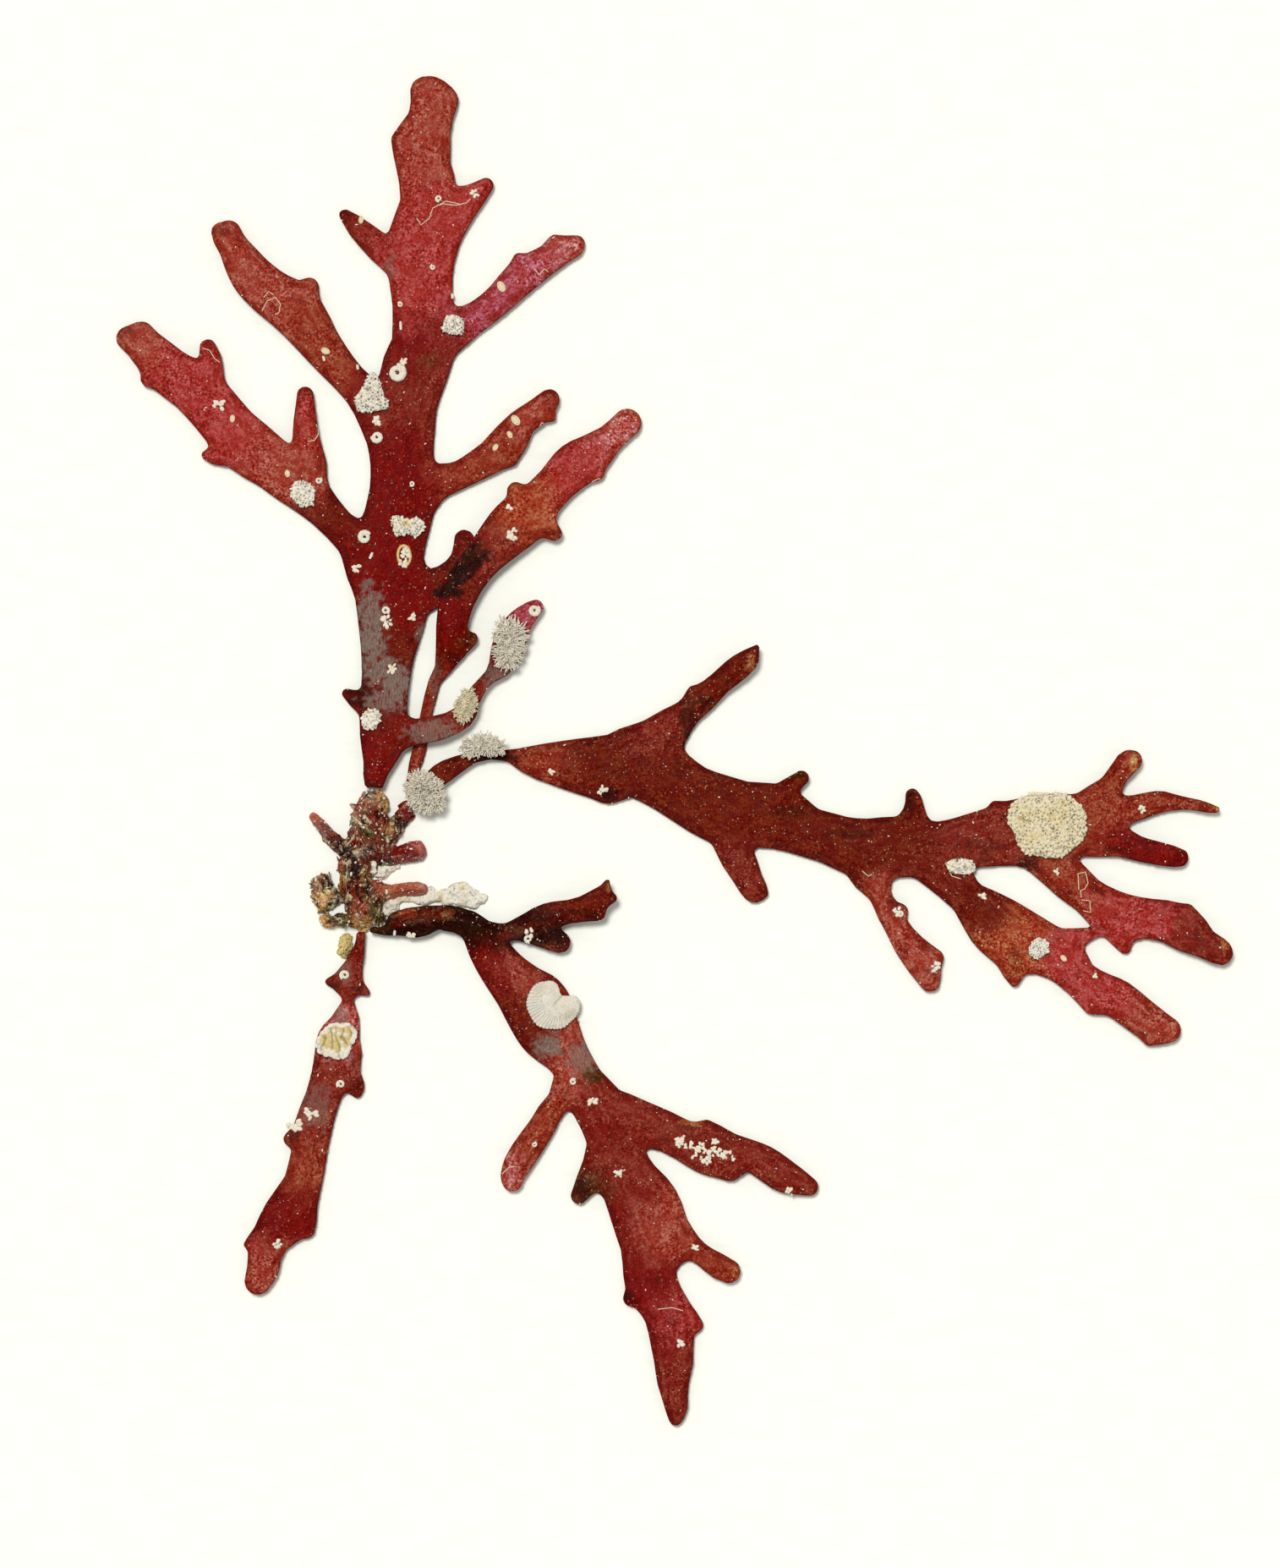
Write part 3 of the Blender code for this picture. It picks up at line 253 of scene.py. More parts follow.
FRONDS = {
    "main_frond": Frond(
        striae=0.25,
        specked=0.32,
        tones=tones(
            rosy_brown=[
                (512, 125, 38), (500, 190, 28), (270, 290, 28), (320, 350, 32), (165, 400, 28),
                (330, 545, 28), (640, 475, 24),
            ],
            rose=[
                (500, 240, 30), (488, 285, 32), (565, 222, 22), (495, 345, 30), (220, 440, 30),
                (270, 510, 34), (362, 490, 18),
            ],
            red_brown=[(420, 268, 22), (485, 470, 28), (530, 400, 18), (520, 860, 20), (590, 795, 24)],
            deep_red=[(482, 405, 26), (470, 560, 36), (460, 640, 38), (465, 700, 30), (450, 880, 36)],
            maroon=[(450, 770, 26), (400, 620, 26), (515, 675, 18), (485, 868, 14)],
            russet=[(380, 410, 28), (570, 550, 32)],
            pale_rose=[(675, 290, 32)],
            mauve=[(620, 322, 28), (570, 375, 24), (626, 735, 18)],
        ),
        stains=stains(
            (545, 330, 6, 34, 0.9, "maroon"), (474, 404, 5, 8, 1.0, "deep_red"),
            (510, 427, 17, 9, 0.35, "olive"), (427, 820, 16, 26, 0.75, "near_black"),
            (452, 850, 16, 24, 0.7, "maroon"), (441, 932, 20, 14, 0.3, "near_black"),
            (405, 255, 8, 8, 0.8, "maroon"), (560, 352, 10, 8, 0.6, "maroon"),
            (519, 700, 9, 9, 0.9, "near_black"), (262, 275, 10, 8, 0.6, "maroon"),
            (150, 392, 9, 8, 0.6, "maroon"), (246, 410, 8, 8, 0.5, "deep_red"),
            (360, 466, 9, 9, 0.5, "deep_red"), (648, 466, 10, 7, 0.5, "maroon"),
            (465, 160, 5, 20, 0.4, "maroon"), (575, 792, 16, 12, 0.35, "near_black"),
        ),
        films=stains(
            (440, 745, 17, 50, 1.0), (450, 792, 24, 18, 1.0), (468, 806, 20, 22, 1.0),
            (435, 692, 8, 9, 0.7), (456, 828, 26, 14, 0.85), (499, 746, 7, 14, 0.6),
            (514, 866, 34, 15, 0.75), (588, 800, 18, 16, 0.6), (462, 315, 7, 16, 0.4),
        ),
    ),
    "slender_frond": Frond(
        striae=0.4,
        specked=0.4,
        tones=tones(
            pale_rose=[(742, 500, 26)],
            rose=[(680, 550, 32)],
            brick=[(620, 600, 28)],
            red_brown=[(585, 648, 22), (575, 668, 16)],
            maroon=[(545, 640, 16), (548, 690, 14), (555, 760, 14)],
            deep_red=[(530, 745, 26)],
            russet=[(505, 830, 26)],
        ),
        stains=stains(
            (562, 654, 19, 13, 0.75, "near_black"), (556, 663, 20, 13, 0.8, "near_black"),
            (549, 672, 20, 13, 0.8, "near_black"), (542, 681, 19, 13, 0.85, "near_black"),
            (535, 690, 17, 13, 0.9, "near_black"), (528, 699, 14, 11, 0.95, "near_black"),
            (556, 757, 9, 9, 0.9, "umber"), (536, 778, 10, 6, 0.5, "near_black"),
            (655, 630, 10, 6, 0.7, "maroon"), (752, 492, 8, 8, 0.25, "tan"),
            (520, 800, 8, 26, 0.35, "near_black"),
        ),
        films=stains((513, 800, 7, 40, 0.3)),
    ),
    "right_frond": Frond(
        striae=1.0,
        specked=0.5,
        tones=tones(
            maroon=[
                (530, 908, 18), (700, 905, 30), (800, 925, 34), (880, 965, 34), (960, 990, 34),
                (1060, 1000, 34), (850, 810, 28), (1150, 1065, 24),
            ],
            near_black=[(580, 893, 18)],
            russet=[(640, 888, 26), (1270, 1045, 24), (1320, 925, 22), (1385, 950, 24)],
            red_brown=[(1150, 990, 34), (790, 860, 24), (884, 1025, 22), (1430, 1120, 22)],
            brick=[(1195, 1105, 26)],
            rose=[(1280, 1155, 30), (1335, 1085, 26)],
            rosy_brown=[(1370, 1215, 24), (1050, 1065, 22), (1088, 1130, 24)],
            deep_red=[(1375, 1010, 24)],
        ),
        stains=stains(
            (588, 894, 26, 9, 0.85, "near_black"), (720, 938, 14, 10, 0.8, "near_black"),
            (815, 850, 12, 26, 0.7, "near_black"), (835, 832, 10, 12, 0.6, "near_black"),
            (888, 788, 6, 16, 0.4, "tan"), (945, 918, 10, 6, 0.6, "olive"),
            (1076, 948, 10, 16, 0.5, "near_black"), (1215, 1022, 16, 10, 0.7, "near_black"),
            (1342, 902, 5, 14, 0.95, "tan"), (1438, 956, 8, 5, 0.9, "tan"), (1449, 1112, 4, 12, 0.9, "tan"),
            (1060, 1068, 14, 12, 0.5, "maroon"), (1200, 1135, 10, 16, 0.35, "olive"),
            (1290, 1062, 14, 9, 0.6, "rose"), (940, 960, 26, 8, 0.45, "near_black"),
            (1010, 985, 24, 8, 0.4, "near_black"), (1160, 1000, 30, 8, 0.4, "near_black"),
            (905, 1055, 8, 7, 0.5, "maroon"),
        ),
        films=stains((1120, 1150, 10, 10, 0.3)),
    ),
    "lower_frond": Frond(
        striae=0.7,
        specked=0.5,
        tones=tones(
            near_black=[(500, 1090, 30), (570, 1095, 22), (650, 1112, 26)],
            maroon=[(665, 1078, 18), (705, 1058, 18), (600, 1190, 20), (625, 1225, 24)],
            deep_red=[(584, 1145, 24), (708, 1350, 18), (745, 1440, 20), (780, 1540, 26), (770, 1500, 16)],
            rosy_brown=[(612, 1140, 18), (640, 1155, 20), (684, 1246, 22), (778, 1450, 22)],
            red_brown=[
                (665, 1150, 14), (725, 1310, 26), (740, 1370, 26), (800, 1640, 26), (800, 1335, 28),
                (905, 1380, 30),
            ],
            rose=[(805, 1545, 20)],
            russet=[(632, 1345, 24), (845, 1492, 22)],
            pale_rose=[(606, 1395, 18)],
            umber=[(688, 1405, 18)],
        ),
        stains=stains(
            (701, 1270, 14, 12, 0.85, "olive"), (648, 1237, 16, 14, 0.5),
            (690, 1405, 12, 14, 0.6, "near_black"), (818, 1327, 16, 4, 0.75, "tan"),
            (840, 1350, 30, 14, 0.5, "maroon"), (690, 1320, 6, 22, 0.4, "deep_red"),
            (795, 1675, 10, 10, 0.6, "maroon"), (742, 1532, 10, 8, 0.6, "near_black"),
            (868, 1505, 8, 8, 0.35, "tan"), (640, 1095, 24, 5, 0.4, "maroon"),
            (720, 1045, 5, 10, 0.5, "tan"), (500, 1082, 46, 10, 0.75, "umber"),
            (480, 1079, 14, 8, 0.6, "brick"), (520, 1079, 22, 5, 0.5, "maroon"),
            (500, 1104, 60, 7, 0.9, "near_black"), (550, 1090, 16, 10, 0.85, "near_black"),
            (672, 1100, 34, 9, 0.85, "near_black"), (640, 1108, 22, 9, 0.9, "near_black"),
            (690, 1078, 22, 4, 0.4, "near_black"), (596, 1106, 16, 4, 0.7, "maroon"),
            (470, 1092, 8, 5, 0.5, "deep_red"), (530, 1080, 8, 6, 0.15, "tan"),
            (610, 1098, 18, 7, 0.6, "umber"), (448, 1098, 14, 6, 0.7, "olive"),
            (580, 1076, 14, 4, 0.5, "olive"), (700, 1085, 10, 6, 0.6, "near_black"),
        ),
        films=stains((650, 1236, 17, 15, 0.8), (690, 1250, 20, 20, 0.75)),
    ),
    "small_frond": Frond(
        striae=0.6,
        specked=0.45,
        tones=tones(
            red_brown=[(408, 1160, 22), (382, 1300, 28)],
            pale_rose=[(405, 1205, 20)],
            russet=[(362, 1370, 28)],
            deep_red=[(340, 1440, 28)],
            rosy_brown=[(310, 1500, 24)],
        ),
        stains=stains(
            (392, 1165, 10, 6, 0.6, "near_black"), (425, 1170, 8, 6, 0.6, "near_black"),
            (420, 1285, 10, 12, 0.4, "near_black"), (345, 1345, 10, 10, 0.5, "near_black"),
            (300, 1475, 8, 12, 0.6, "rose"), (412, 1112, 8, 10, 0.4, "near_black"),
        ),
        films=stains((375, 1310, 18, 26, 0.45), (408, 1150, 9, 14, 0.5), (404, 1204, 12, 12, 0.6)),
    ),
}
BLADES = tuple(node + "_blade" for node in FRONDS)


class Crust(NamedTuple):
    """A crust of cells: distance apart and height in mm, the share with open mouths, colour and slot."""

    pitch: float
    lump: float
    open_share: float
    colour: str
    slot: str = "crust"


CRUSTS = {
    "cell_crust": Crust(0.47, 0.15, 0.3, "cream"),
    "fork_crust": Crust(0.5, 0.2, 0.8, "grey"),
    "left_crust": Crust(0.46, 0.19, 0.45, "grey"),
    "right_crust": Crust(0.44, 0.19, 0.6, "grey"),
    "middle_crust": Crust(0.42, 0.19, 0.25, "grey"),
    "foot_crust": Crust(0.44, 0.17, 0.4, "grey"),
    "side_crust": Crust(0.38, 0.15, 0.5, "grey"),
    "fork_bead_crust": Crust(0.38, 0.15, 0.5, "grey"),
    "cream_bead": Crust(0.5, 0.12, 0.1, "yellow", "sponge"),
}


class Tuft(NamedTuple):
    """A matted tuft: hairs, their length in mm, how upright they stand, how much painted shade lies on the
    mat between them (also how aged the mat is), colour, slot.
    """

    hairs: int
    length: float
    upright: float
    dark: float
    colour: str = "grey"
    slot: str = "tuft"


TUFTS = {
    "grey_tuft": Tuft(440, 0.46, 0.5, 0.3),
    "fuzzy_crust": Tuft(320, 0.6, 0.4, 0.2),
    "neck_tuft": Tuft(260, 0.5, 0.5, 0.1),
    "sponge_tuft": Tuft(160, 0.35, 0.6, 0.0, "cream", "sponge"),
}

# The coiled tubes that the solids hold, and smaller ones that grow on the blades alone.
WORM_TUBES = {
    "worm_tube_a": Spot(470, 441, 12),
    "worm_tube_b": Spot(446, 517, 8),
    "worm_tube_c": Spot(431, 635, 9),
    "worm_tube_d": Spot(632, 722, 8),
}
RINGS = spots(
    (519, 235, 5), (512, 316, 4), (473, 360, 4), (487, 572, 4), (632, 1353, 4), (678, 1279, 5),
    (377, 568, 5), (456, 722, 6), (625, 1110, 6), (1343, 982, 5), (403, 1282, 6), (408, 1153, 7),
    (1065, 1080, 5),
)
LUMPS = spots(
    (561, 230, 6), (444, 498, 7), (259, 479, 8), (606, 632, 8), (603, 600, 5), (457, 735, 8), (421, 671, 6),
    (487, 730, 5), (1106, 1143, 7), (731, 1388, 6), (349, 1332, 10), (368, 1317, 9), (328, 1470, 6),
    (804, 1588, 6), (627, 1103, 6), (935, 1408, 6), (822, 1476, 5), (1162, 1060, 5), (1062, 1078, 6),
    (1350, 957, 5), (700, 1301, 7), (857, 1364, 6), (804, 1352, 6), (836, 1372, 5), (845, 1350, 5),
    (712, 934, 7), (652, 912, 4), (476, 427, 5), (480, 657, 7), (478, 650, 6), (477, 665, 6), (463, 790, 7),
    (1250, 1031, 4), (1294, 1154, 4), (486, 1106, 5), (432, 1270, 4), (583, 1060, 6), (437, 548, 3),
)
BEADS = spots(
    (800, 1347, 3), (805, 1351, 4), (811, 1355, 3), (817, 1354, 5), (823, 1360, 5), (829, 1355, 5),
    (836, 1361, 6), (843, 1357, 4), (849, 1362, 5), (855, 1366, 4), (832, 1370, 4), (841, 1368, 4),
    (820, 1367, 4), (862, 1361, 4), (866, 1369, 3), (808, 1345, 3),
)
OVALS = spots(
    (593, 339, 6), (610, 497, 6), (385, 415, 5), (586, 529, 4), (603, 514, 4), (275, 495, 4), (340, 560, 4),
    (427, 260, 4), (1258, 1133, 4),
)
GOLD_OVAL = Spot(478, 657, 12)
RODS = spots(
    (474, 385, 5), (439, 657, 4), (383, 424, 3), (535, 350, 3), (423, 434, 3), (467, 1103, 3),
    (640, 1190, 3),
)

# Fine threads that lie on the blades.
THREADS = (
    ((493, 258), (498, 266), (508, 258), (512, 246), (522, 241), (540, 243), (552, 240), (558, 234)),
    ((310, 368), (316, 356), (326, 352), (332, 360), (330, 370), (324, 372)),
    ((240, 412), (248, 414), (254, 424), (262, 430)),
    ((374, 502), (378, 512), (372, 521), (362, 522)),
    ((312, 352), (318, 345), (326, 350)),
    ((636, 508), (641, 500), (648, 503)),
    ((520, 243), (527, 238), (538, 240), (548, 243)),
    ((632, 318), (638, 325), (644, 318), (650, 323)),
    ((1276, 1052), (1275, 1033), (1284, 1031), (1287, 1044), (1283, 1051), (1278, 1053), (1279, 1064)),
    ((1279, 1064), (1289, 1065), (1290, 1079), (1278, 1076)),
    ((778, 1548), (795, 1546), (812, 1551)),
    ((594, 1388), (602, 1380), (612, 1379)),
    ((700, 570), (708, 566), (716, 569)),
    ((1020, 1030), (1027, 1036), (1033, 1033)),
    ((1118, 1020), (1126, 1036), (1140, 1040)),
)
# Rootlets that wind over the holdfast.
STRANDS = (
    ((404, 1058), (402, 1040), (406, 1022), (414, 1008), (420, 996)),
    ((412, 1060), (409, 1042), (412, 1026), (420, 1012)),
    ((452, 962), (458, 972), (452, 986), (458, 996)),
    ((400, 1086), (420, 1084), (440, 1090), (452, 1096)),
    ((424, 1076), (434, 1066), (442, 1052), (440, 1040)),
    ((412, 955), (408, 968), (410, 984)),
    ((438, 1020), (436, 1032), (444, 1040)),
)
HOLDFAST_TONES = tones(
    film=[(439, 941, 6), (419, 972, 5), (429, 1006, 5)],
    rosy_brown=[(421, 951, 7), (447, 1044, 6), (485, 1050, 11), (372, 966, 5)],
    tan=[(455, 944, 6), (459, 981, 4), (403, 1042, 5), (435, 1036, 4), (426, 1090, 6), (384, 1089, 7)],
    umber=[(431, 957, 6), (465, 990, 7), (440, 1064, 6)],
    deep_red=[(440, 968, 8), (421, 990, 6), (482, 958, 7), (424, 1082, 5), (480, 1008, 13)],
    maroon=[(452, 976, 7), (443, 1002, 7), (432, 1022, 6), (417, 1056, 8), (388, 985, 9)],
    olive=[(433, 983, 6), (409, 1065, 5), (446, 1073, 6), (410, 1088, 6)],
    near_black=[
        (470, 970, 5), (408, 1003, 6), (417, 1027, 8), (436, 1043, 3), (432, 1054, 5), (396, 1082, 5),
        (457, 1016, 6), (400, 996, 4),
    ],
    brick=[(404, 1024, 4), (428, 1073, 5), (461, 1055, 8)],
    rose=[(496, 999, 6)],
)
CLUMP_TONES = tones(
    umber=[(380, 1040, 8)],
    maroon=[(374, 1047, 5)],
    near_black=[(393, 1046, 5)],
    tan=[(383, 1062, 6)],
    film=[(397, 1068, 6)],
    olive=[(392, 1077, 6)],
)
CALM_PARTS = spots(
    (370, 962, 14), (384, 978, 13), (464, 1012, 13), (480, 1008, 15), (498, 1003, 18), (464, 1055, 11),
    (478, 1051, 12), (496, 1050, 14),
)


class Gnarl(NamedTuple):
    """How a clump is gnarled: heights in mm, flakes, share that is limy, calm parts, tones and slot."""

    height: float
    flakes: int
    limy: float
    calm: tuple
    tones: tuple
    slot: str


GNARLS = {
    "holdfast": Gnarl(0.2, 110, 0.3, CALM_PARTS, HOLDFAST_TONES, "holdfast"),
    "left_clump": Gnarl(0.24, 30, -0.05, (), CLUMP_TONES, "tuft"),
}


class Mass(NamedTuple):
    """A soft mass of sponge: the solids it stands for, its height in mm, its colour and its lumps."""

    nodes: tuple
    height: float
    colour: str
    lumps: tuple


MASSES = {
    "stem_mass": Mass(
        ("stem_sponge",),
        1.1,
        "white",
        spots(
            (530, 1060, 6), (536, 1055, 7), (543, 1051, 7), (550, 1053, 8), (557, 1058, 8), (564, 1064, 6),
            (548, 1062, 8), (538, 1065, 6), (560, 1070, 5), (571, 1060, 4), (527, 1066, 5), (524, 1055, 5),
            (516, 1060, 6), (510, 1054, 6), (507, 1063, 6),
        ),
    ),
    "flap_mass": Mass(
        (),
        0.8,
        "white",
        spots(
            (456, 1078, 5), (457, 1071, 6), (464, 1067, 6), (472, 1062, 6), (479, 1061, 6), (486, 1062, 5),
            (493, 1064, 5), (500, 1064, 5), (465, 1074, 5),
        ),
    ),
    "clump_mass": Mass(
        ("clump_fuzz",),
        0.8,
        "grey",
        spots(
            (441, 1022, 5), (448, 1026, 5), (456, 1028, 5), (464, 1027, 4), (447, 1032, 5), (454, 1035, 5),
            (468, 1024, 4), (442, 1029, 4),
        ),
    ),
}
# Two corners round the old clumps, between which the white grains that stand in as painted glints lie.
CLUMP_CORNERS = ((365, 1098), (505, 930))
# The notch that the disc's flutes spread from, and the root of the fan.
DISC_NOTCH = (662, 1180)
FAN_ROOT = (392, 1190)
# The fan's white cap starts between these heights of the scan.
FAN_CAP = (1238, 1244)


def place(x, y, height=0.0):
    """A dot of the scan as a point over the floor, in metres."""
    return Vector(((x - SCAN_CENTRE_X) * SCAN_PITCH, (SCAN_CENTRE_Y - y) * SCAN_PITCH, height))


def spot_on(x, y):
    """A dot of the scan as a flat point in millimetres."""
    return place(x, y) / MM


def scan_dots(points):
    """Points in millimetres as dots of the scan."""
    return points[:, 0] * MM / SCAN_PITCH + SCAN_CENTRE_X, SCAN_CENTRE_Y - points[:, 1] * MM / SCAN_PITCH


def smoothstep(value, low, high):
    share = np.clip((value - low) / (high - low), 0, 1)
    return share * share * (3 - 2 * share)


def scatter(rng, spread):
    """A random vector, each part of it no longer than the spread."""
    return Vector([rng.uniform(-spread, spread) for _ in range(3)])


def evaluated(mesh, kind, **settings):
    """The mesh after one modifier, and without the one that went in."""
    holder = bpy.data.objects.new("holder", mesh)
    bpy.context.scene.collection.objects.link(holder)
    modifier = holder.modifiers.new(kind, kind)
    for name, value in settings.items():
        setattr(modifier, name, value)
    depsgraph = bpy.context.evaluated_depsgraph_get()
    result = bpy.data.meshes.new_from_object(holder.evaluated_get(depsgraph))
    bpy.data.objects.remove(holder)
    bpy.data.meshes.remove(mesh)
    return result


def mesh_of(form, name):
    mesh = bpy.data.meshes.new(name)
    form.to_mesh(mesh)
    form.free()
    return mesh


def evened(form, name, voxel):
    """A mesh of even faces, of this size in metres, with the form's shape."""
    return evaluated(mesh_of(form, name), "REMESH", mode="VOXEL", voxel_size=voxel / MM)


def rows_of(items, name, width=3, kind=float):
    """One setting of all the items of a mesh, a row to each."""
    rows = np.empty(len(items) * width, dtype=kind)
    items.foreach_get(name, rows)
    return rows.reshape(-1, width)


def smoothed(heights, edges, rounds):
    """Heights after each has moved towards its neighbours' mean, as often as rounds says."""
    count = len(heights)
    degree = np.bincount(edges.ravel(), minlength=count)
    shared = degree > 0
    for _ in range(rounds):
        total = np.bincount(edges[:, 0], heights[edges[:, 1]], count)
        total += np.bincount(edges[:, 1], heights[edges[:, 0]], count)
        heights = heights.copy()
        heights[shared] += 0.6 * (total[shared] / degree[shared] - heights[shared])
    return heights


def gradient_noise(points):
    """Smooth noise of about -1 to 1, from a random slope at each corner of a unit lattice."""
    cell = np.floor(points).astype(np.int64)
    local = points - cell
    ease = local**3 * (local * (local * 6 - 15) + 10)
    total = np.zeros(len(points))
    for corner in product((0, 1), repeat=3):
        mixed = (cell + corner) * (73856093, 19349663, 83492791)
        mixed = mixed[:, 0] ^ mixed[:, 1] ^ mixed[:, 2]
        mixed = ((mixed ^ (mixed >> 13)) * 1274126177) & 0x3FFFFFFF
        mixed = ((mixed ^ (mixed >> 15)) * 2246822519) & 0x3FFFFFFF
        slope = np.column_stack([mixed & 1023, (mixed >> 10) & 1023, (mixed >> 20) & 1023]) / 511.5 - 1
        weight = np.where(corner, ease, 1 - ease).prod(axis=1)
        total += weight * ((local - corner) * slope).sum(axis=1)
    return 1.5 * total


def waves_at(points, size, seed, octaves=1):
    """Even noise of about -1 to 1 at each point, with waves of this size and finer ones in each octave."""
    offset = np.array((seed * 17.3, seed * 5.1, seed * 9.7))
    waves = [0.6**step * gradient_noise(points * 2**step / size + offset) for step in range(octaves)]
    return np.sum(waves, axis=0)


def tree_of(targets):
    """A tree that finds the nearest of the targets."""
    tree = KDTree(len(targets))
    for index, target in enumerate(targets):
        tree.insert(target, index)
    tree.balance()
    return tree


def blend(colours, share, target):
    """Moves the colours towards the target, each by its own share."""
    colours += share[:, None] * (np.array(target) - colours)


def stain_share(stain, x, y, ragged):
    """How much of the stain shows at each dot, with an edge that ragged noise pushes in and out."""
    reach = np.hypot((x - stain.x) / stain.half_width, (y - stain.y) / stain.half_height)
    return stain.strength * (1 - smoothstep(reach + 0.7 * ragged, 0.6, 1.2))


def tinted(look, points, drift, tones, stains=()):
    """The colour of each point, blended from the tones near it, with the stains over them."""
    x, y = scan_dots(points)
    drift_x = drift * waves_at(points, 3.4, 3, 3)
    drift_y = drift * waves_at(points, 3.4, 14, 3)
    total = np.zeros((len(points), 3))
    weights = np.zeros(len(points))
    for spot in tones:
        away = np.hypot(x + drift_x - spot.x, y + drift_y - spot.y) / spot.reach
        weight = np.exp(-0.6 * away**2) + 1e-6 / (1 + away**4)
        total += weight[:, None] * np.array(getattr(look, spot.tone))
        weights += weight
    colours = total / weights[:, None]
    ragged = waves_at(points, 0.7, 4, 3)
    for stain in stains:
        blend(colours, stain_share(stain, x, y, ragged), getattr(look, stain.tone))
    return colours


class Surface:
    """A piece in the making: its mesh in millimetres, with its points and their normals."""

    def __init__(self, mesh):
        self.mesh = mesh
        self.points = rows_of(mesh.vertices, "co")
        self.normals = rows_of(mesh.vertex_normals, "vector")
        self.up = self.normals[:, 2]

    def waves(self, size, seed, octaves=1):
        return waves_at(self.points, size, seed, octaves)

    def from_rim(self, rim):
        """How far each point is from the nearest of those in the rim."""
        tree = tree_of(self.points[rim])
        return np.array([tree.find(point)[2] for point in self.points])

    def update(self, lowest=None):
        """Gives the mesh its points' new places, none of them lower than this."""
        if lowest is not None:
            self.points[:, 2] = np.maximum(self.points[:, 2], lowest)
        self.mesh.vertices.foreach_set("co", self.points.ravel())
        self.mesh.update()

    def push(self, rise, least_up=FACES_DOWN, lowest=None):
        """Moves each point out by its rise, apart from those that face down more than this."""
        self.points += rise[:, None] * self.normals * (self.normals[:, 2:] > least_up)
        self.update(lowest)

    def form(self):
        """The mesh as a form that more can be added to. The mesh itself goes."""
        form = bmesh.new()
        form.from_mesh(self.mesh)
        bpy.data.meshes.remove(self.mesh)
        return form

    def paint(self, name, values):
        """A value or a colour of each point, for the material to read."""
        if np.ndim(values) == 2:
            full = np.column_stack([values, np.ones(len(values))])
            self.mesh.attributes.new(name, "FLOAT_COLOR", "POINT").data.foreach_set("color", full.ravel())
        else:
            full = np.full(len(self.points), values, dtype=float)
            self.mesh.attributes.new(name, "FLOAT", "POINT").data.foreach_set("value", full)

    def finish(self, name, material, slot, replaced=(), **painted):
        """The finished piece, riding on the plant."""
        for key, values in painted.items():
            self.paint(key, values)
        self.mesh.transform(Matrix.Scale(MM, 4))
        self.mesh.shade_smooth()
        self.mesh.materials.clear()
        self.mesh.materials.append(material)
        self.mesh.name = name
        piece = bpy.data.objects.new(name, self.mesh)
        bpy.context.scene.collection.objects.link(piece)
        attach(piece, "root")
        if replaced:
            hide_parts(*replaced)
        return piece


def surface_of(node, voxel):
    """A CAD node's shape, its triangles joined, in even faces of this size in metres."""
    form = bmesh.new()
    form.from_mesh(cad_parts[node].data)
    bmesh.ops.remove_doubles(form, verts=form.verts, dist=0.001 * MM)
    bmesh.ops.scale(form, vec=(1 / MM,) * 3, verts=form.verts)
    return Surface(evened(form, node, voxel))


def growth_surface(form, name):
    """A form of small growths as a surface, clean and a little yellow."""
    made = Surface(mesh_of(form, name))
    made.paint("pit_shade", 0.0)
    made.paint("aged", 0.25)
    return made


class Ground:
    """What small growths sit on: finished pieces, seen from above, in millimetres."""

    def __init__(self, names):
        form = bmesh.new()
        for name in names:
            form.from_mesh(bpy.data.objects[name].data)
        bmesh.ops.scale(form, vec=(1 / MM,) * 3, verts=form.verts)
        self.tree = BVHTree.FromBMesh(form)
        form.free()

    def top(self, point):
        """The highest point of the surface there, or None beside it."""
        return self.tree.ray_cast(Vector((point.x, point.y, 50)), Vector((0, 0, -1)))[0]

    def along(self, route, shares, lift):
        """Points over the ground along a route, at these shares of each of its lengths."""
        tops = [
            self.top(spot_on(*(a + share * (b - a) for a, b in zip(start, end))))
            for start, end in zip(route, route[1:])
            for share in shares
        ]
        return [top + Vector((0, 0, lift)) for top in tops if top]


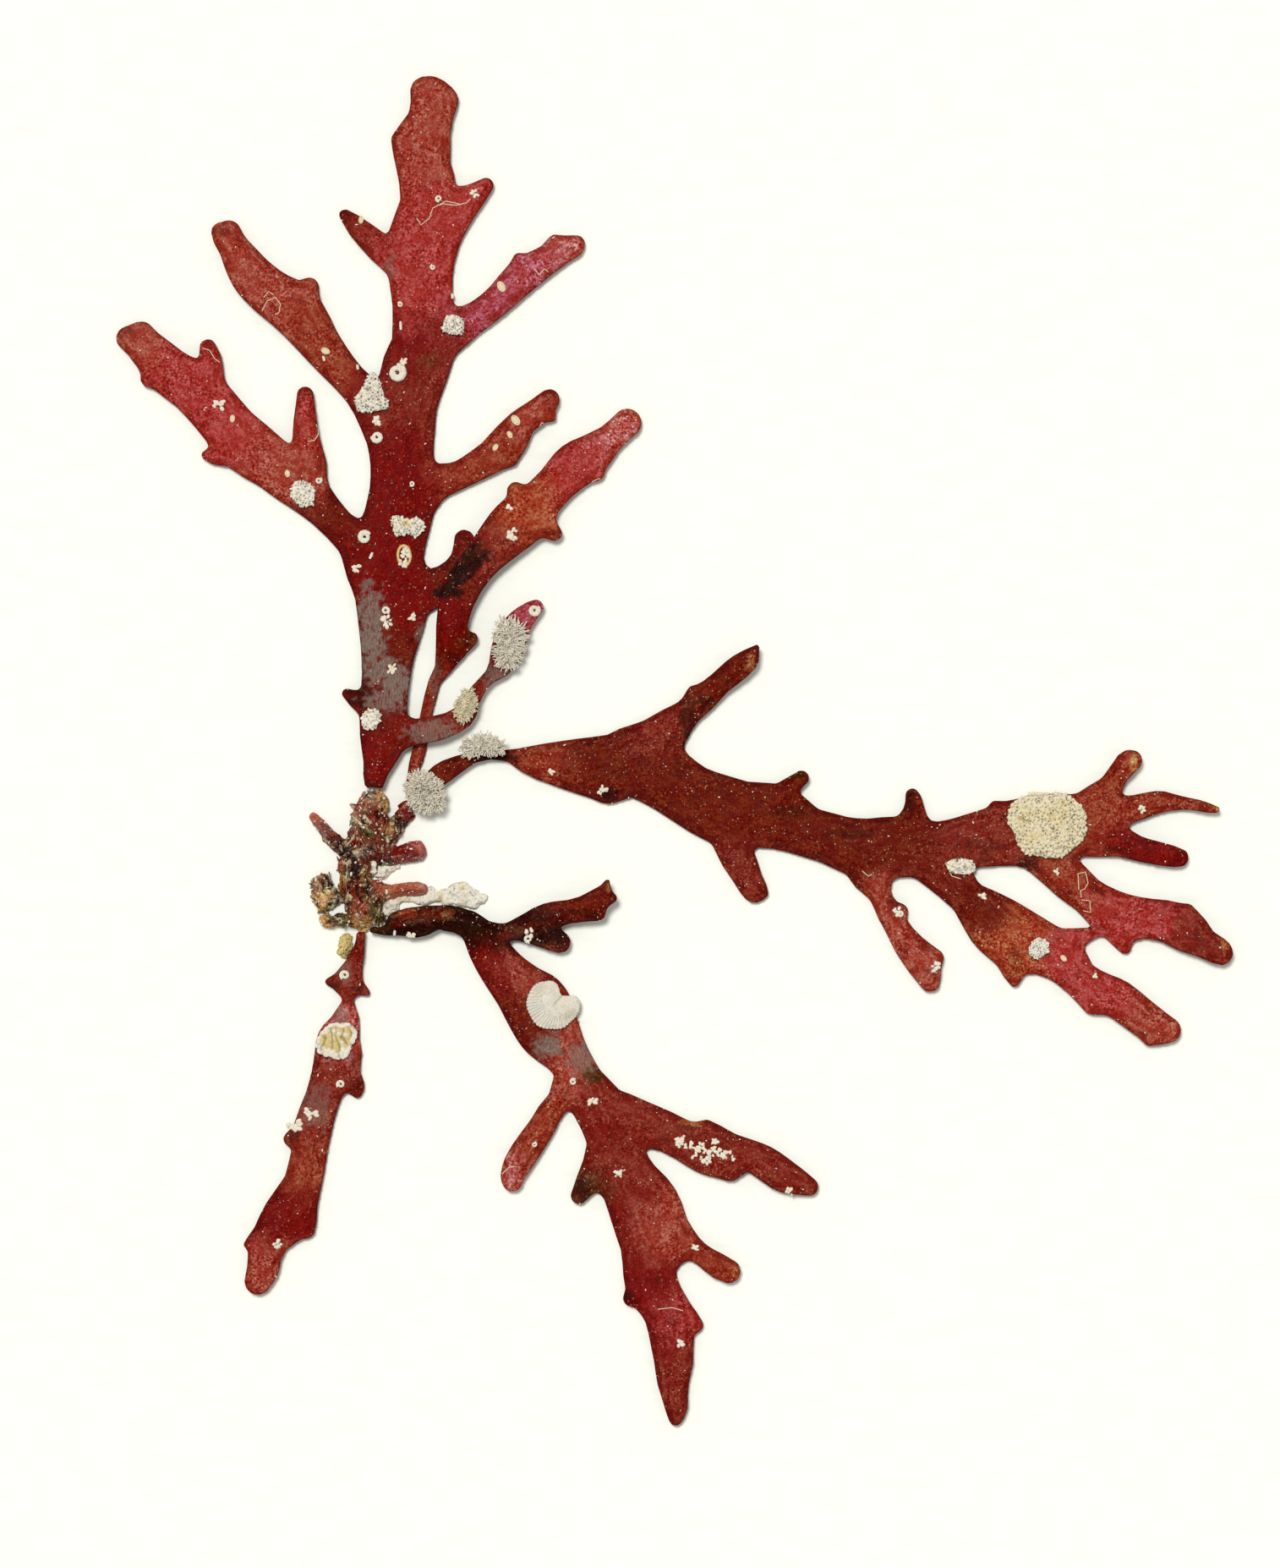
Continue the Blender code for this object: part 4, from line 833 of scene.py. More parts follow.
class Finish:
    """A procedural material, whose patterns are sized in metres on the piece."""

    def __init__(self, name, roughness, specular=0.5):
        self.material = bpy.data.materials.new(name)
        self.material.use_nodes = True
        self.tree = self.material.node_tree
        self.shader = self.tree.nodes["Principled BSDF"]
        self.shader.inputs["Roughness"].default_value = roughness
        self.shader.inputs["Specular IOR Level"].default_value = specular
        self.position = self.tree.nodes.new("ShaderNodeTexCoord").outputs["Object"]

    def node(self, kind, inputs, **settings):
        made = self.tree.nodes.new(kind)
        for name, value in settings.items():
            setattr(made, name, value)
        for name, value in inputs.items():
            self.connect(value, made.inputs[name])
        return made

    def connect(self, value, socket):
        if isinstance(value, bpy.types.NodeSocket):
            self.tree.links.new(value, socket)
        elif socket.type == "RGBA":
            socket.default_value = (*value[:3], 1)
        else:
            socket.default_value = value

    def clouds(self, size, detail=2.0, seed=0.0, stretch=None):
        """Soft noise from 0 to 1, with waves of this size in metres."""
        position = self.position
        if seed or stretch:
            scale = stretch or (1, 1, 1)
            inputs = {"Vector": position, "Location": (seed, seed, 0), "Scale": scale}
            position = self.node("ShaderNodeMapping", inputs).outputs[0]
        inputs = {"Vector": position, "Scale": 1 / size, "Detail": detail}
        return self.node("ShaderNodeTexNoise", inputs).outputs["Fac"]

    def cells(self, size):
        """Distance to the middle of the nearest cell, of this size in metres."""
        inputs = {"Vector": self.position, "Scale": 1 / size}
        return self.node("ShaderNodeTexVoronoi", inputs, feature="F1").outputs["Distance"]

    def painted(self, name, output="Fac"):
        """A value that the piece's points hold, or a colour."""
        return self.node("ShaderNodeAttribute", {}, attribute_name=name).outputs[output]

    def between(self, value, low, high, start=0.0, end=1.0):
        """The value as a smooth share from start to end, as it goes from low to high."""
        inputs = {"Value": value, "From Min": low, "From Max": high, "To Min": start, "To Max": end}
        return self.node("ShaderNodeMapRange", inputs, interpolation_type="SMOOTHSTEP").outputs[0]

    def times(self, first, second):
        return self.node("ShaderNodeMath", {0: first, 1: second}, operation="MULTIPLY").outputs[0]

    def plus(self, first, second):
        return self.node("ShaderNodeMath", {0: first, 1: second}, operation="ADD").outputs[0]

    def mix(self, share, first, second, way="MIX"):
        inputs = {0: share, 6: first, 7: second}
        return self.node("ShaderNodeMix", inputs, data_type="RGBA", blend_type=way).outputs[2]

    def dyed(self, colour, dye):
        return self.mix(1.0, colour, dye, way="MULTIPLY")

    def finish(self, colour, height=None, depth=0.1 * MM):
        """Joins the colour and the bump's height to the shader, and gives the material."""
        self.connect(colour, self.shader.inputs["Base Color"])
        if height is not None:
            bump = self.node("ShaderNodeBump", {"Height": height, "Distance": depth, "Strength": 1.0})
            self.connect(bump.outputs[0], self.shader.inputs["Normal"])
        return self.material


def frond_skin(look, name, roughness, specular):
    """Satin blade: grains on a red ground, streaks along it, dark edges, gold specks and a dull film."""
    skin = Finish(name, roughness, specular)
    tint = skin.painted("tint", "Color")
    papillae = skin.between(skin.cells(1.25 * look.grain), 0.6, 0.15)
    grain = skin.clouds(look.grain, detail=3)
    mottle = skin.clouds(5 * look.grain, detail=4, seed=0.31)
    # Every grain stands up paler and pinker than the red ground between.
    share = skin.plus(skin.times(papillae, 0.5), skin.between(grain, 0.4, 0.62, 0.0, 0.64))
    share = skin.plus(0.45, skin.times(skin.painted("grainy"), skin.plus(share, -0.45)))
    colour = skin.mix(share, skin.dyed(tint, GROUND_DYE), skin.dyed(tint, GRAIN_DYE))
    # Streaks run along the blade, and the edges are redder and darker than its middle.
    streak = skin.between(skin.plus(skin.painted("streak"), mottle), 0.15, 0.75, 0.0, 0.85)
    colour = skin.mix(streak, colour, skin.dyed(colour, STREAK_DYE))
    far = skin.plus(skin.painted("margin"), skin.times(skin.painted("streak"), -0.55))
    colour = skin.mix(skin.between(far, 0.1, 1.1), skin.dyed(colour, EDGE_DYE), colour)
    # Gold specks lie thickest where the blade is darkest, with dark specks among them.
    specks = skin.between(skin.cells(1.7 * look.grain), 0.3, 0.1)
    thick = skin.between(skin.clouds(9 * look.grain, seed=0.7), 0.4, 0.62, 0.1, 1.0)
    colour = skin.mix(skin.times(skin.times(specks, thick), skin.painted("specked")), colour, look.tan)
    dark = skin.between(skin.clouds(0.8 * look.grain, 2, 0.9), 0.6, 0.72)
    colour = skin.mix(skin.times(skin.times(dark, thick), 0.8), colour, look.near_black)
    striae = skin.between(skin.painted("striae"), 0.12, 0.7, 0.0, 0.45)
    colour = skin.mix(striae, colour, skin.mix(0.8, colour, look.near_black))
    # The film is torn into rags, and fibrous.
    rags = skin.between(skin.clouds(0.4 * MM, 4, 0.2, (2.6, 0.5, 1)), 0.32, 0.46)
    film = skin.times(skin.painted("film"), rags)
    fibre = skin.between(skin.clouds(0.16 * MM, 2, 0.5, (2.0, 0.5, 1)), 0.35, 0.65)
    dull = skin.mix(fibre, tuple(0.6 * channel for channel in look.film), look.film)
    colour = skin.mix(skin.times(film, 0.9), colour, dull)
    width = look.margin_width / MM
    edge = skin.between(skin.painted("margin"), 0.3 * width, 1.3 * width, 0.6, 0.0)
    colour = skin.mix(edge, colour, look.near_black)
    return skin.finish(colour, skin.plus(skin.times(papillae, 0.7), grain), 0.04 * MM)


def lime_finish(name, colour, look):
    """Dull lime or dried sponge: uneven, with painted shade in the pits, with fine grains."""
    finish = Finish(name, roughness=0.75, specular=0.15)
    cloud = finish.clouds(0.55 * MM, detail=3)
    grain = finish.clouds(0.12 * MM, detail=2, seed=0.4)
    aged = finish.times(finish.between(cloud, 0.3, 0.7), finish.painted("aged"))
    tint = finish.mix(aged, colour, look.yellow)
    # Fine dark grains, in the same colour as the painted pit shade.
    tint = finish.mix(finish.between(grain, 0.45, 0.75, 0.0, 0.42), tint, look.pit_shade)
    # Painted shade in the pits and hollows that each piece marks.
    tint = finish.mix(finish.painted("pit_shade"), tint, tuple(0.3 * channel for channel in look.pit_shade))
    return finish.finish(tint, grain, 0.03 * MM)


def lime(colour):
    return bpy.data.materials[colour + "_lime"]


def blade(node, look, material):
    """A frond with fine wrinkles of drying, a raised margin and its colours painted on."""
    style = FRONDS[node]
    made = surface_of(node, look.voxel)
    points = made.points
    side = np.where(made.up > LEVEL, 1, np.where(made.up < -LEVEL, -1, 0))
    edges = rows_of(made.mesh.edges, "vertices", 2, int)
    level = edges[(side[edges[:, 0]] == side[edges[:, 1]]) & (side[edges[:, 0]] != 0)]
    points[:, 2] = smoothed(points[:, 2], level, rounds=30)
    margin = made.from_rim(side == 0)
    # Wrinkles run along the margins, so they are noise over the distance from one, drawn out along it.
    bent = margin + 0.6 * made.waves(2.4, 15)
    along = np.column_stack([bent / 0.36, points[:, 0] / 3.5, points[:, 1] / 3.5])
    streak = waves_at(np.column_stack([bent / 0.5, points[:, 0] / 1.6, points[:, 1] / 1.6]), 1, 10, 3)
    lines = 1.6 * waves_at(along, 1, 5, 2) * smoothstep(made.waves(1.9, 6), -0.1, 0.4) * style.striae
    swell = made.waves(1.5, 9)
    wrinkle = look.wrinkle / MM
    rise = wrinkle * (1.1 * lines + 0.5 * made.waves(0.42, 8) + 1.1 * swell) * smoothstep(margin, 0.1, 0.8)
    rise += 1.1 * wrinkle * np.exp(-(((margin - 0.2) / 0.16) ** 2))
    points[:, 2] += rise * (side == 1)
    made.update()
    x, y = scan_dots(points)
    ragged = made.waves(0.5, 11, 2)
    return made.finish(
        node + "_blade",
        material,
        "thallus",
        (node,),
        tint=tinted(look, points, FROND_DRIFT, style.tones, style.stains),
        margin=margin,
        film=np.max([stain_share(patch, x, y, ragged) for patch in style.films], axis=0),
        striae=np.clip(-lines, 0, 1) * smoothstep(margin, 0.15, 0.6),
        grainy=0.55 + 0.55 * smoothstep(made.waves(2.6, 19, 2), -0.3, 0.4),
        streak=streak * (0.7 + 0.9 * style.striae),
        specked=style.specked * smoothstep(swell, -0.6, 0.4),
    )


def flake(form, foot, normal, size, rng):
    """A thin, ragged and bent scale that stands off the clump."""
    made = bmesh.ops.create_circle(form, cap_ends=True, segments=9, radius=size)["verts"]
    for vert in made:
        stretch = rng.uniform(0.55, 1.25)
        vert.co = Vector((vert.co.x * stretch, vert.co.y * stretch * 0.7, rng.uniform(-0.12, 0.12) * size))
    faces = list({face for vert in made for face in vert.link_faces})
    grown = bmesh.ops.extrude_face_region(form, geom=faces)["geom"]
    top = [item for item in grown if isinstance(item, bmesh.types.BMVert)]
    bmesh.ops.translate(form, verts=top, vec=(0, 0, 0.07))
    turn = (normal + scatter(rng, 0.9)).to_track_quat("Z", "Y").to_matrix().to_4x4()
    bmesh.ops.transform(form, verts=made + top, matrix=Matrix.Translation(foot) @ turn)


def strand(form, route, ground, thickness):
    """A tapering rootlet that winds over the clump along its route."""
    points = ground.along(route, (0, 0.33, 0.67), 0.25 * thickness)
    tube(form, points, [thickness * (1 - 0.5 * step / len(points)) for step in range(len(points))])


def gnarled(node, look, frond, material, rng):
    """An old clump: split, knobbly, flaking, with painted shade in its hollows, limy in places, with
    rootlets over it.
    """
    style = GNARLS[node]
    made = surface_of(node, look.voxel)
    x, y = scan_dots(made.points)
    calm = np.zeros(len(x))
    for spot in style.calm:
        calm = np.maximum(calm, smoothstep(np.hypot(x - spot.x, y - spot.y) / spot.radius, 1.25, 0.8))
    bent = made.points + 0.35 * made.waves(1.4, 30)[:, None]
    slant = np.column_stack([bent[:, 0] + 0.3 * bent[:, 1], 0.35 * bent[:, 1], bent[:, 2]])
    folds = 1 - 2.6 * np.abs(waves_at(slant, 0.75, 32, 2))
    rise = style.height * (1.0 * folds + 0.9 * made.waves(0.9, 31, 2) - 0.4) * (1 - 0.85 * calm)
    rise += 0.05 * made.waves(0.2, 33)
    made.push(rise, ALL_WAYS, BODY_GAP)
    form = made.form()
    body = len(form.verts)
    tops = [i for i in range(body) if made.up[i] > -0.1 and calm[i] < 0.3]
    for index in rng.sample(tops, style.flakes):
        flake(form, Vector(made.points[index]), Vector(made.normals[index]), rng.uniform(0.25, 0.75), rng)
    if node == "holdfast":
        ground = Ground(BLADES + (node,))
        for route in STRANDS:
            strand(form, route, ground, rng.uniform(0.2, 0.32))
    bmesh.ops.recalc_face_normals(form, faces=form.faces)
    made = Surface(mesh_of(form, node))
    made.update(TIP_GAP)
    # What was added has no hollows and no calm parts.
    added = np.zeros(len(made.points) - body)
    deep = np.concatenate([smoothstep(rise, 0.0, -0.2), added])
    calm = np.concatenate([calm, added])
    near_black = np.array(frond.near_black)
    colours = tinted(frond, made.points, CLUMP_DRIFT, style.tones)
    # Painted shade darkens the hollows between the folds.
    blend(colours, 0.8 * deep, 0.5 * near_black)
    limy = smoothstep(made.waves(0.8, 34, 2), style.limy, style.limy + 0.12) * (1 - deep) * (1 - 0.7 * calm)
    blend(colours, 0.7 * limy, 0.75 * np.array(look.cream))
    blend(colours, 0.5 * smoothstep(made.waves(0.5, 35, 2), 0.4, 0.6) * (1 - deep), frond.brick)
    blend(colours, 0.75 * smoothstep(made.waves(0.7, 36, 2), 0.38, 0.5) * (1 - calm), near_black)
    painted = {"film": 0, "striae": 0, "streak": 0, "margin": NO_MARGIN, "specked": 0.55, "grainy": 0.45}
    return made.finish(
        node + "_gnarled", material, style.slot, (node,), tint=colours * CLUMP_DYE, **painted
    )


def seeds_over(points, pitch, rng):
    """Points of a jittered lattice that covers the flat extent of these points."""
    low = points[:, :2].min(axis=0) - pitch
    high = points[:, :2].max(axis=0) + pitch
    rows = []
    row = 0
    y = low[1]
    while y < high[1]:
        x = low[0] + (row % 2) * pitch / 2
        while x < high[0]:
            stray_x, stray_y = (rng.uniform(-JITTER, JITTER) * pitch for _ in "xy")
            rows.append((x + stray_x, y + stray_y, 0.0))
            x += pitch
        y += ROW_STEP * pitch
        row += 1
    return rows


def nearest_cells(points, seeds):
    """The three shortest flat distances from each point to the seeds, and which seed is the nearest."""
    tree = tree_of(seeds)
    found = [tree.find_n((x, y, 0), 3) for x, y in points[:, :2]]
    away = np.array([[one[2] for one in three] for three in found])
    return away, np.array([three[0][1] for three in found])


def cell_crust(node, crust, look, rng):
    """A crust of rounded cells, some open, with sunken gaps where three meet and a scalloped rim; painted
    shade darkens the gaps and the open mouths.
    """
    made = surface_of(node, look.voxel)
    pitch = crust.pitch
    seeds = seeds_over(made.points, pitch, rng)
    bend = np.column_stack([made.waves(0.5, 17), made.waves(0.5, 18), np.zeros(len(made.points))])
    away, cell = nearest_cells(made.points + 0.1 * bend, seeds)
    opened = np.array([rng.random() < crust.open_share for _ in seeds])[cell]
    tall = np.array([rng.uniform(0.6, 1.3) for _ in seeds])[cell]
    sunk = np.array([rng.uniform(0.1, 1.3) for _ in seeds])[cell]
    dome = tall * np.sqrt(np.clip(1 - (away[:, 0] / (0.6 * pitch)) ** 2, 0, 1))
    mouth = smoothstep(away[:, 0], 0.3 * pitch, 0.14 * pitch) * opened
    corner = sunk * smoothstep(away[:, 2] - away[:, 0], 0.34 * pitch, 0.1 * pitch)
    rise = crust.lump * (dome - 0.6 - 0.8 * mouth - 0.7 * corner + 0.5 * made.waves(0.22, 2))
    made.push(rise * (1.8 - 0.8 * smoothstep(made.up, 0.2, 0.7)))
    inside = smoothstep(made.from_rim(np.abs(made.up) < LEVEL), 0.3, 1.6)
    # Painted shade in the gaps where three cells meet and in the open mouths.
    pit_shade = np.clip(0.9 * corner + 0.85 * mouth, 0, 1) * smoothstep(made.up, 0.2, 0.6)
    aged = 0.3 * inside + 0.8 * made.waves(1.4, 16, 2)
    return made.finish(node + "_cells", lime(crust.colour), crust.slot, (node,), pit_shade=pit_shade, aged=aged)


def fan_crust(look, rng):
    """A knobbly crust that spreads in a fan, yellow and ribbed inside, with a scalloped white cap."""
    made = surface_of("fan_crust", look.voxel)
    root = spot_on(*FAN_ROOT)
    angle = np.arctan2(made.points[:, 1] - root.y, made.points[:, 0] - root.x) + 0.12 * made.waves(0.8, 41)
    ribs = np.cos(angle * FAN_RIBS)
    away, _ = nearest_cells(made.points, seeds_over(made.points, FAN_PITCH, rng))
    knob = np.sqrt(np.clip(1 - (away[:, 0] / 0.32) ** 2, 0, 1))
    rim = made.from_rim(np.abs(made.up) < LEVEL)
    below = smoothstep(scan_dots(made.points)[1] + 6 * made.waves(0.8, 44), *FAN_CAP)
    capped = np.maximum(smoothstep(rim + 0.25 * made.waves(0.7, 43, 2), 0.6, 0.3), below)
    rise = capped * 0.2 * (knob - 0.45) + (1 - capped) * (0.05 * ribs - 0.08) + 0.08 * made.waves(0.3, 42)
    made.push(rise)
    hollows = (1 - capped) * smoothstep(-ribs, 0.2, 0.9) + capped * smoothstep(knob, 0.35, 0.0)
    # Painted shade in the grooves between the ribs and between the knobs of the cap.
    pit_shade = 0.55 * hollows * smoothstep(made.up, 0.2, 0.6)
    aged = 2.0 * (1 - capped) + 0.2
    return made.finish("fan_crust_ribs", lime("white"), "crust", ("fan_crust",), pit_shade=pit_shade, aged=aged)


def notched_disc(look):
    """A round lime shell with a notch, fluted from the notch outwards, with a finely cut rim."""
    made = surface_of("notched_disc", look.voxel)
    notch = spot_on(*DISC_NOTCH)
    x, y = made.points[:, 0] - notch.x, made.points[:, 1] - notch.y
    angle = np.arctan2(y, x)
    reach = np.hypot(x, y)
    wobble = 0.5 * made.waves(1.2, 21)
    flutes = np.cos(FLUTES * angle + wobble * 4) * smoothstep(reach, 0.7, 2.2)
    made.push(0.045 * flutes + 0.025 * np.sin(reach * 5 + 2 * wobble) + 0.03 * made.waves(0.4, 22), -0.2)
    rim = (reach / reach.max()) ** 2
    made.points[:, 2] += (0.12 * rim - 0.1 * smoothstep(reach, 0.9, 0.1)) * (made.up > 0.3)
    made.update()
    crease = smoothstep(np.abs(np.sin(angle - 4.0)) * reach, 0.16, 0.04) * smoothstep(reach, 1.5, 0.6)
    # Painted shade in the flute grooves and in the crease by the notch, with a little over all the shell.
    pit_shade = 0.1 + 0.3 * smoothstep(-flutes, 0.2, 1) + 0.3 * crease + 0.1 * made.waves(1.1, 24)
    aged = 0.16 + 0.2 * made.waves(1.5, 23)
    return made.finish("notched_disc_fluted", lime("white"), "crust", ("notched_disc",), pit_shade=pit_shade, aged=aged)


def add_hair(form, foot, way, length, thickness, rng):
    """A bent hair of two tapering lengths, added to the form."""
    turned = (way + scatter(rng, 0.6)).normalized()
    middle = foot + way * length * 0.55
    for start, along, reach, wide, narrow in (
        (foot, way, 0.6 * length, thickness, 0.85 * thickness),
        (middle, turned, 0.5 * length, 0.85 * thickness, 0.55 * thickness),
    ):
        turn = along.to_track_quat("Z", "Y").to_matrix().to_4x4()
        matrix = Matrix.Translation(start + along * reach / 2) @ turn
        bmesh.ops.create_cone(
            form, cap_ends=True, segments=4, radius1=wide / 2, radius2=narrow / 2, depth=reach, matrix=matrix
        )


def tuft(node, style, look, rng):
    """A lumpy mat with hairs that stand out of it all round."""
    made = surface_of(node, 1.3 * look.voxel)
    rise = 0.16 * made.waves(0.6, 12) + 0.12 * made.waves(0.24, 13) - 0.06
    made.push(rise)
    points = made.points
    low = points[:, 2].min()
    foot = low + 0.25 * (points[:, 2].max() - low)
    middle = points.mean(axis=0)
    roots = [i for i in range(len(points)) if made.up[i] > -0.05 and points[i, 2] > foot]
    form = made.form()
    body = len(points)
    for index in rng.sample(roots, min(style.hairs, len(roots))):
        outward = Vector(points[index] - middle)
        way = Vector(made.normals[index]) + 0.5 * outward.normalized() + scatter(rng, 0.9)
        way.z = abs(way.z) * style.upright
        length = style.length * rng.uniform(0.6, 1.2)
        thickness = look.hair / MM * rng.uniform(0.7, 1.2)
        add_hair(form, Vector(points[index]), way.normalized(), length, thickness, rng)
    made = Surface(mesh_of(form, node))
    made.update(TIP_GAP)
    hairs = len(made.points) - body
    # Painted shade over the mat, deepest in its low parts between the lumps; none on the hairs.
    pit_shade = np.concatenate([style.dark + 0.5 * np.clip(-rise / 0.12, 0, 1), np.zeros(hairs)])
    aged = np.concatenate([np.full(body, style.dark), np.full(hairs, 0.12)])
    return made.finish(node + "_hairs", lime(style.colour), style.slot, (node,), pit_shade=pit_shade, aged=aged)


def mass(name, style, ground, look, rng):
    """A lumpy, porous mass grown together out of soft lumps, on whatever lies under each."""
    form = bmesh.new()
    for spot in style.lumps:
        centre = spot_on(spot.x, spot.y)
        top = ground.top(centre)
        centre.z = (top.z if top else 0) + 0.3 * style.height * rng.uniform(0.3, 1)
        matrix = Matrix.Translation(centre) @ Matrix.Diagonal((1.15, 1, 0.8, 1))
        bmesh.ops.create_icosphere(form, subdivisions=3, radius=1.25 * spot.reach, matrix=matrix)
    made = Surface(evened(form, name, look.voxel))
    pores = made.waves(0.34, 51, 2)
    made.push(0.28 * made.waves(1.3, 52, 3) + 0.06 * pores - 0.08, ALL_WAYS, BODY_GAP)
    # Painted shade in the pores.
    pit_shade = 0.6 * smoothstep(-pores, 0.32, 0.6)
    aged = 0.25 + 0.9 * made.waves(1.6, 53, 2)
    return made.finish(name, lime(style.colour), "sponge", style.nodes, pit_shade=pit_shade, aged=aged)


def tube(form, points, thickness, closed=False):
    """A round tube along the points, with its own thickness at each, added to the form."""
    path = bpy.data.curves.new("path", "CURVE")
    path.dimensions = "3D"
    path.bevel_depth = 0.5
    path.bevel_resolution = 2
    path.use_fill_caps = True
    spline = path.splines.new("POLY")
    spline.points.add(len(points) - 1)
    spline.use_cyclic_u = closed
    for knot, point, wide in zip(spline.points, points, thickness):
        knot.co = (*point, 1)
        knot.radius = wide
    holder = bpy.data.objects.new("path", path)
    bpy.context.scene.collection.objects.link(holder)
    made = bpy.data.meshes.new_from_object(holder.evaluated_get(bpy.context.evaluated_depsgraph_get()))
    form.from_mesh(made)
    bpy.data.objects.remove(holder)
    bpy.data.curves.remove(path)
    bpy.data.meshes.remove(made)


def coil(form, spot, foot, rng, turns):
    """A limy tube coiled flat, thin in the middle and wide at its mouth."""
    start = rng.uniform(0, 2 * math.pi)
    way = rng.choice((-1, 1))
    steps = round(26 * turns)
    points = []
    thickness = []
    for step in range(steps + 1):
        share = step / steps
        wide = spot.reach * (0.42 + 0.28 * share)
        reach = spot.reach * (0.32 + 0.35 * share)
        angle = start + way * 2 * math.pi * turns * share
        height = foot.z + wide * 0.36 + 0.1 * spot.reach * (1 - share)
        points.append((foot.x + reach * math.cos(angle), foot.y + reach * math.sin(angle), height))
        thickness.append(wide * (1 + 0.06 * math.sin(step * 2.1)))
    tube(form, points, thickness)


def lumps(form, spot, foot, rng):
    """A little heap of lime beads of uneven size."""
    for _ in range(max(4, round(spot.radius * 1.6))):
        angle = rng.uniform(0, 2 * math.pi)
        reach = spot.reach * math.sqrt(rng.uniform(0, 0.7))
        size = rng.uniform(0.1, 0.2) * (0.6 + 0.08 * spot.radius)
        centre = foot + Vector((reach * math.cos(angle), reach * math.sin(angle), 0.35 * size))
        matrix = Matrix.Translation(centre) @ Matrix.Rotation(angle, 4, "Z")
        matrix @= Matrix.Diagonal((1.2, 0.9, 0.75, 1))
        bmesh.ops.create_icosphere(form, subdivisions=2, radius=size, matrix=matrix)


def oval(form, spot, foot, rng, most_turn, filled):
    """An oval cell with a raised rim, turned by no more than this, filled or open in the middle."""
    turn = rng.uniform(0, most_turn)
    rim = []
    for step in range(20):
        angle = 2 * math.pi * step / 20
        across = Vector((0.62 * spot.reach * math.cos(angle), spot.reach * math.sin(angle), 0.06))
        rim.append(foot + Matrix.Rotation(turn, 3, "Z") @ across)
    tube(form, rim, [0.28 * spot.reach] * len(rim), closed=True)
    if filled:
        matrix = Matrix.Translation(foot) @ Matrix.Rotation(turn, 4, "Z")
        matrix @= Matrix.Diagonal((0.6, 0.95, 0.22, 1))
        bmesh.ops.create_icosphere(form, subdivisions=2, radius=spot.reach, matrix=matrix)


def rod(form, spot, foot, rng):
    """A small broken rod of lime."""
    turn = rng.uniform(-0.6, 0.6)
    along = Vector((math.sin(turn), math.cos(turn), 0)) * spot.reach
    lift = Vector((0, 0, 0.12))
    tube(form, [foot - along + lift, foot + lift, foot + along + lift], [0.26, 0.3, 0.24])


def growth_piece(name, colour, slot, shapes, ground, rng, replaced=()):
    """One piece of many small growths: shapes are a function, its spots and what more it is given."""
    form = bmesh.new()
    for shape, places, *more in shapes:
        for spot in places:
            foot = ground.top(spot_on(spot.x, spot.y))
            if foot:
                shape(form, spot, foot, rng, *more)
    bmesh.ops.recalc_face_normals(form, faces=form.faces)
    return growth_surface(form, name).finish(name, lime(colour), slot, replaced)


# Pieces of small growths: colour, slot, the solids that each stands for, and its shapes.
SMALL_GROWTHS = {
    "small_rings": ("white", "shell", (), [(coil, RINGS, 1.2), (rod, RODS)]),
    "small_lumps": ("grey", "crust", (), [(lumps, LUMPS)]),
    "small_ovals": ("cream", "crust", (), [(oval, OVALS, math.pi, True)]),
    "gold_oval": ("yellow", "crust", (), [(oval, [GOLD_OVAL], 0.1, False)]),
    "bead_lumps": ("grey", "crust", ("bead_cluster",), [(lumps, BEADS)]),
}


def threads(ground):
    """Fine threads that lie on the blades along their routes."""
    form = bmesh.new()
    for route in THREADS:
        points = ground.along(route, (0, 0.25, 0.5, 0.75), 0.05)
        if len(points) > 2:
            tube(form, points, [0.085] * len(points))
    return growth_surface(form, "threads").finish("fine_threads", lime("cream"), "crust")


def grains(name, count, scale, low, high, ground, rng):
    """Tiny white grains scattered over what lies between two corners."""
    form = bmesh.new()
    placed = 0
    while placed < count:
        foot = ground.top(Vector((rng.uniform(low.x, high.x), rng.uniform(low.y, high.y), 0)))
        if not foot:
            continue
        size = scale * rng.choice(GRAIN_SIZES)
        turn = Euler([rng.uniform(0, math.pi) for _ in range(3)]).to_matrix().to_4x4()
        stretch = Matrix.Diagonal((rng.choice(GRAIN_STRETCH), 0.9, 0.8, 1))
        matrix = Matrix.Translation(foot) @ turn @ stretch
        bmesh.ops.create_icosphere(form, subdivisions=1, radius=size, matrix=matrix)
        placed += 1
    return growth_surface(form, name).finish(name, lime("white"), "crust")


def sheet_of_paper(look):
    """Cream paper with faint fibres, a little below the plant."""
    form = bmesh.new()
    bmesh.ops.create_grid(form, x_segments=1, y_segments=1, size=PAPER_REACH)
    bmesh.ops.translate(form, verts=form.verts, vec=(0, 0, -0.02 * MM))
    paper = bpy.data.objects.new("paper", mesh_of(form, "paper"))
    finish = Finish("paper", roughness=0.9, specular=0.1)
    fibres = finish.between(finish.clouds(1.2 * MM, 4, 0.2, (0.3, 1, 1)), 0.5, 0.72, 0.0, 0.5)
    shade = tuple(0.93 * channel for channel in look.paper)
    paper.data.materials.append(finish.finish(finish.mix(fibres, look.paper, shade)))
    return paper


class SEAWEED_OT_fronds(bpy.types.Operator):
    """Makes the five fronds, each with its wrinkles, margin and colours"""

    bl_idname = "seaweed.fronds"
    bl_label = "Fronds"

    def execute(self, context):
        look = context.scene.seaweed_fronds
        material = frond_skin(look, "frond_skin", 0.42, 0.03)
        for node in FRONDS:
            blade(node, look, material)
        return {"FINISHED"}


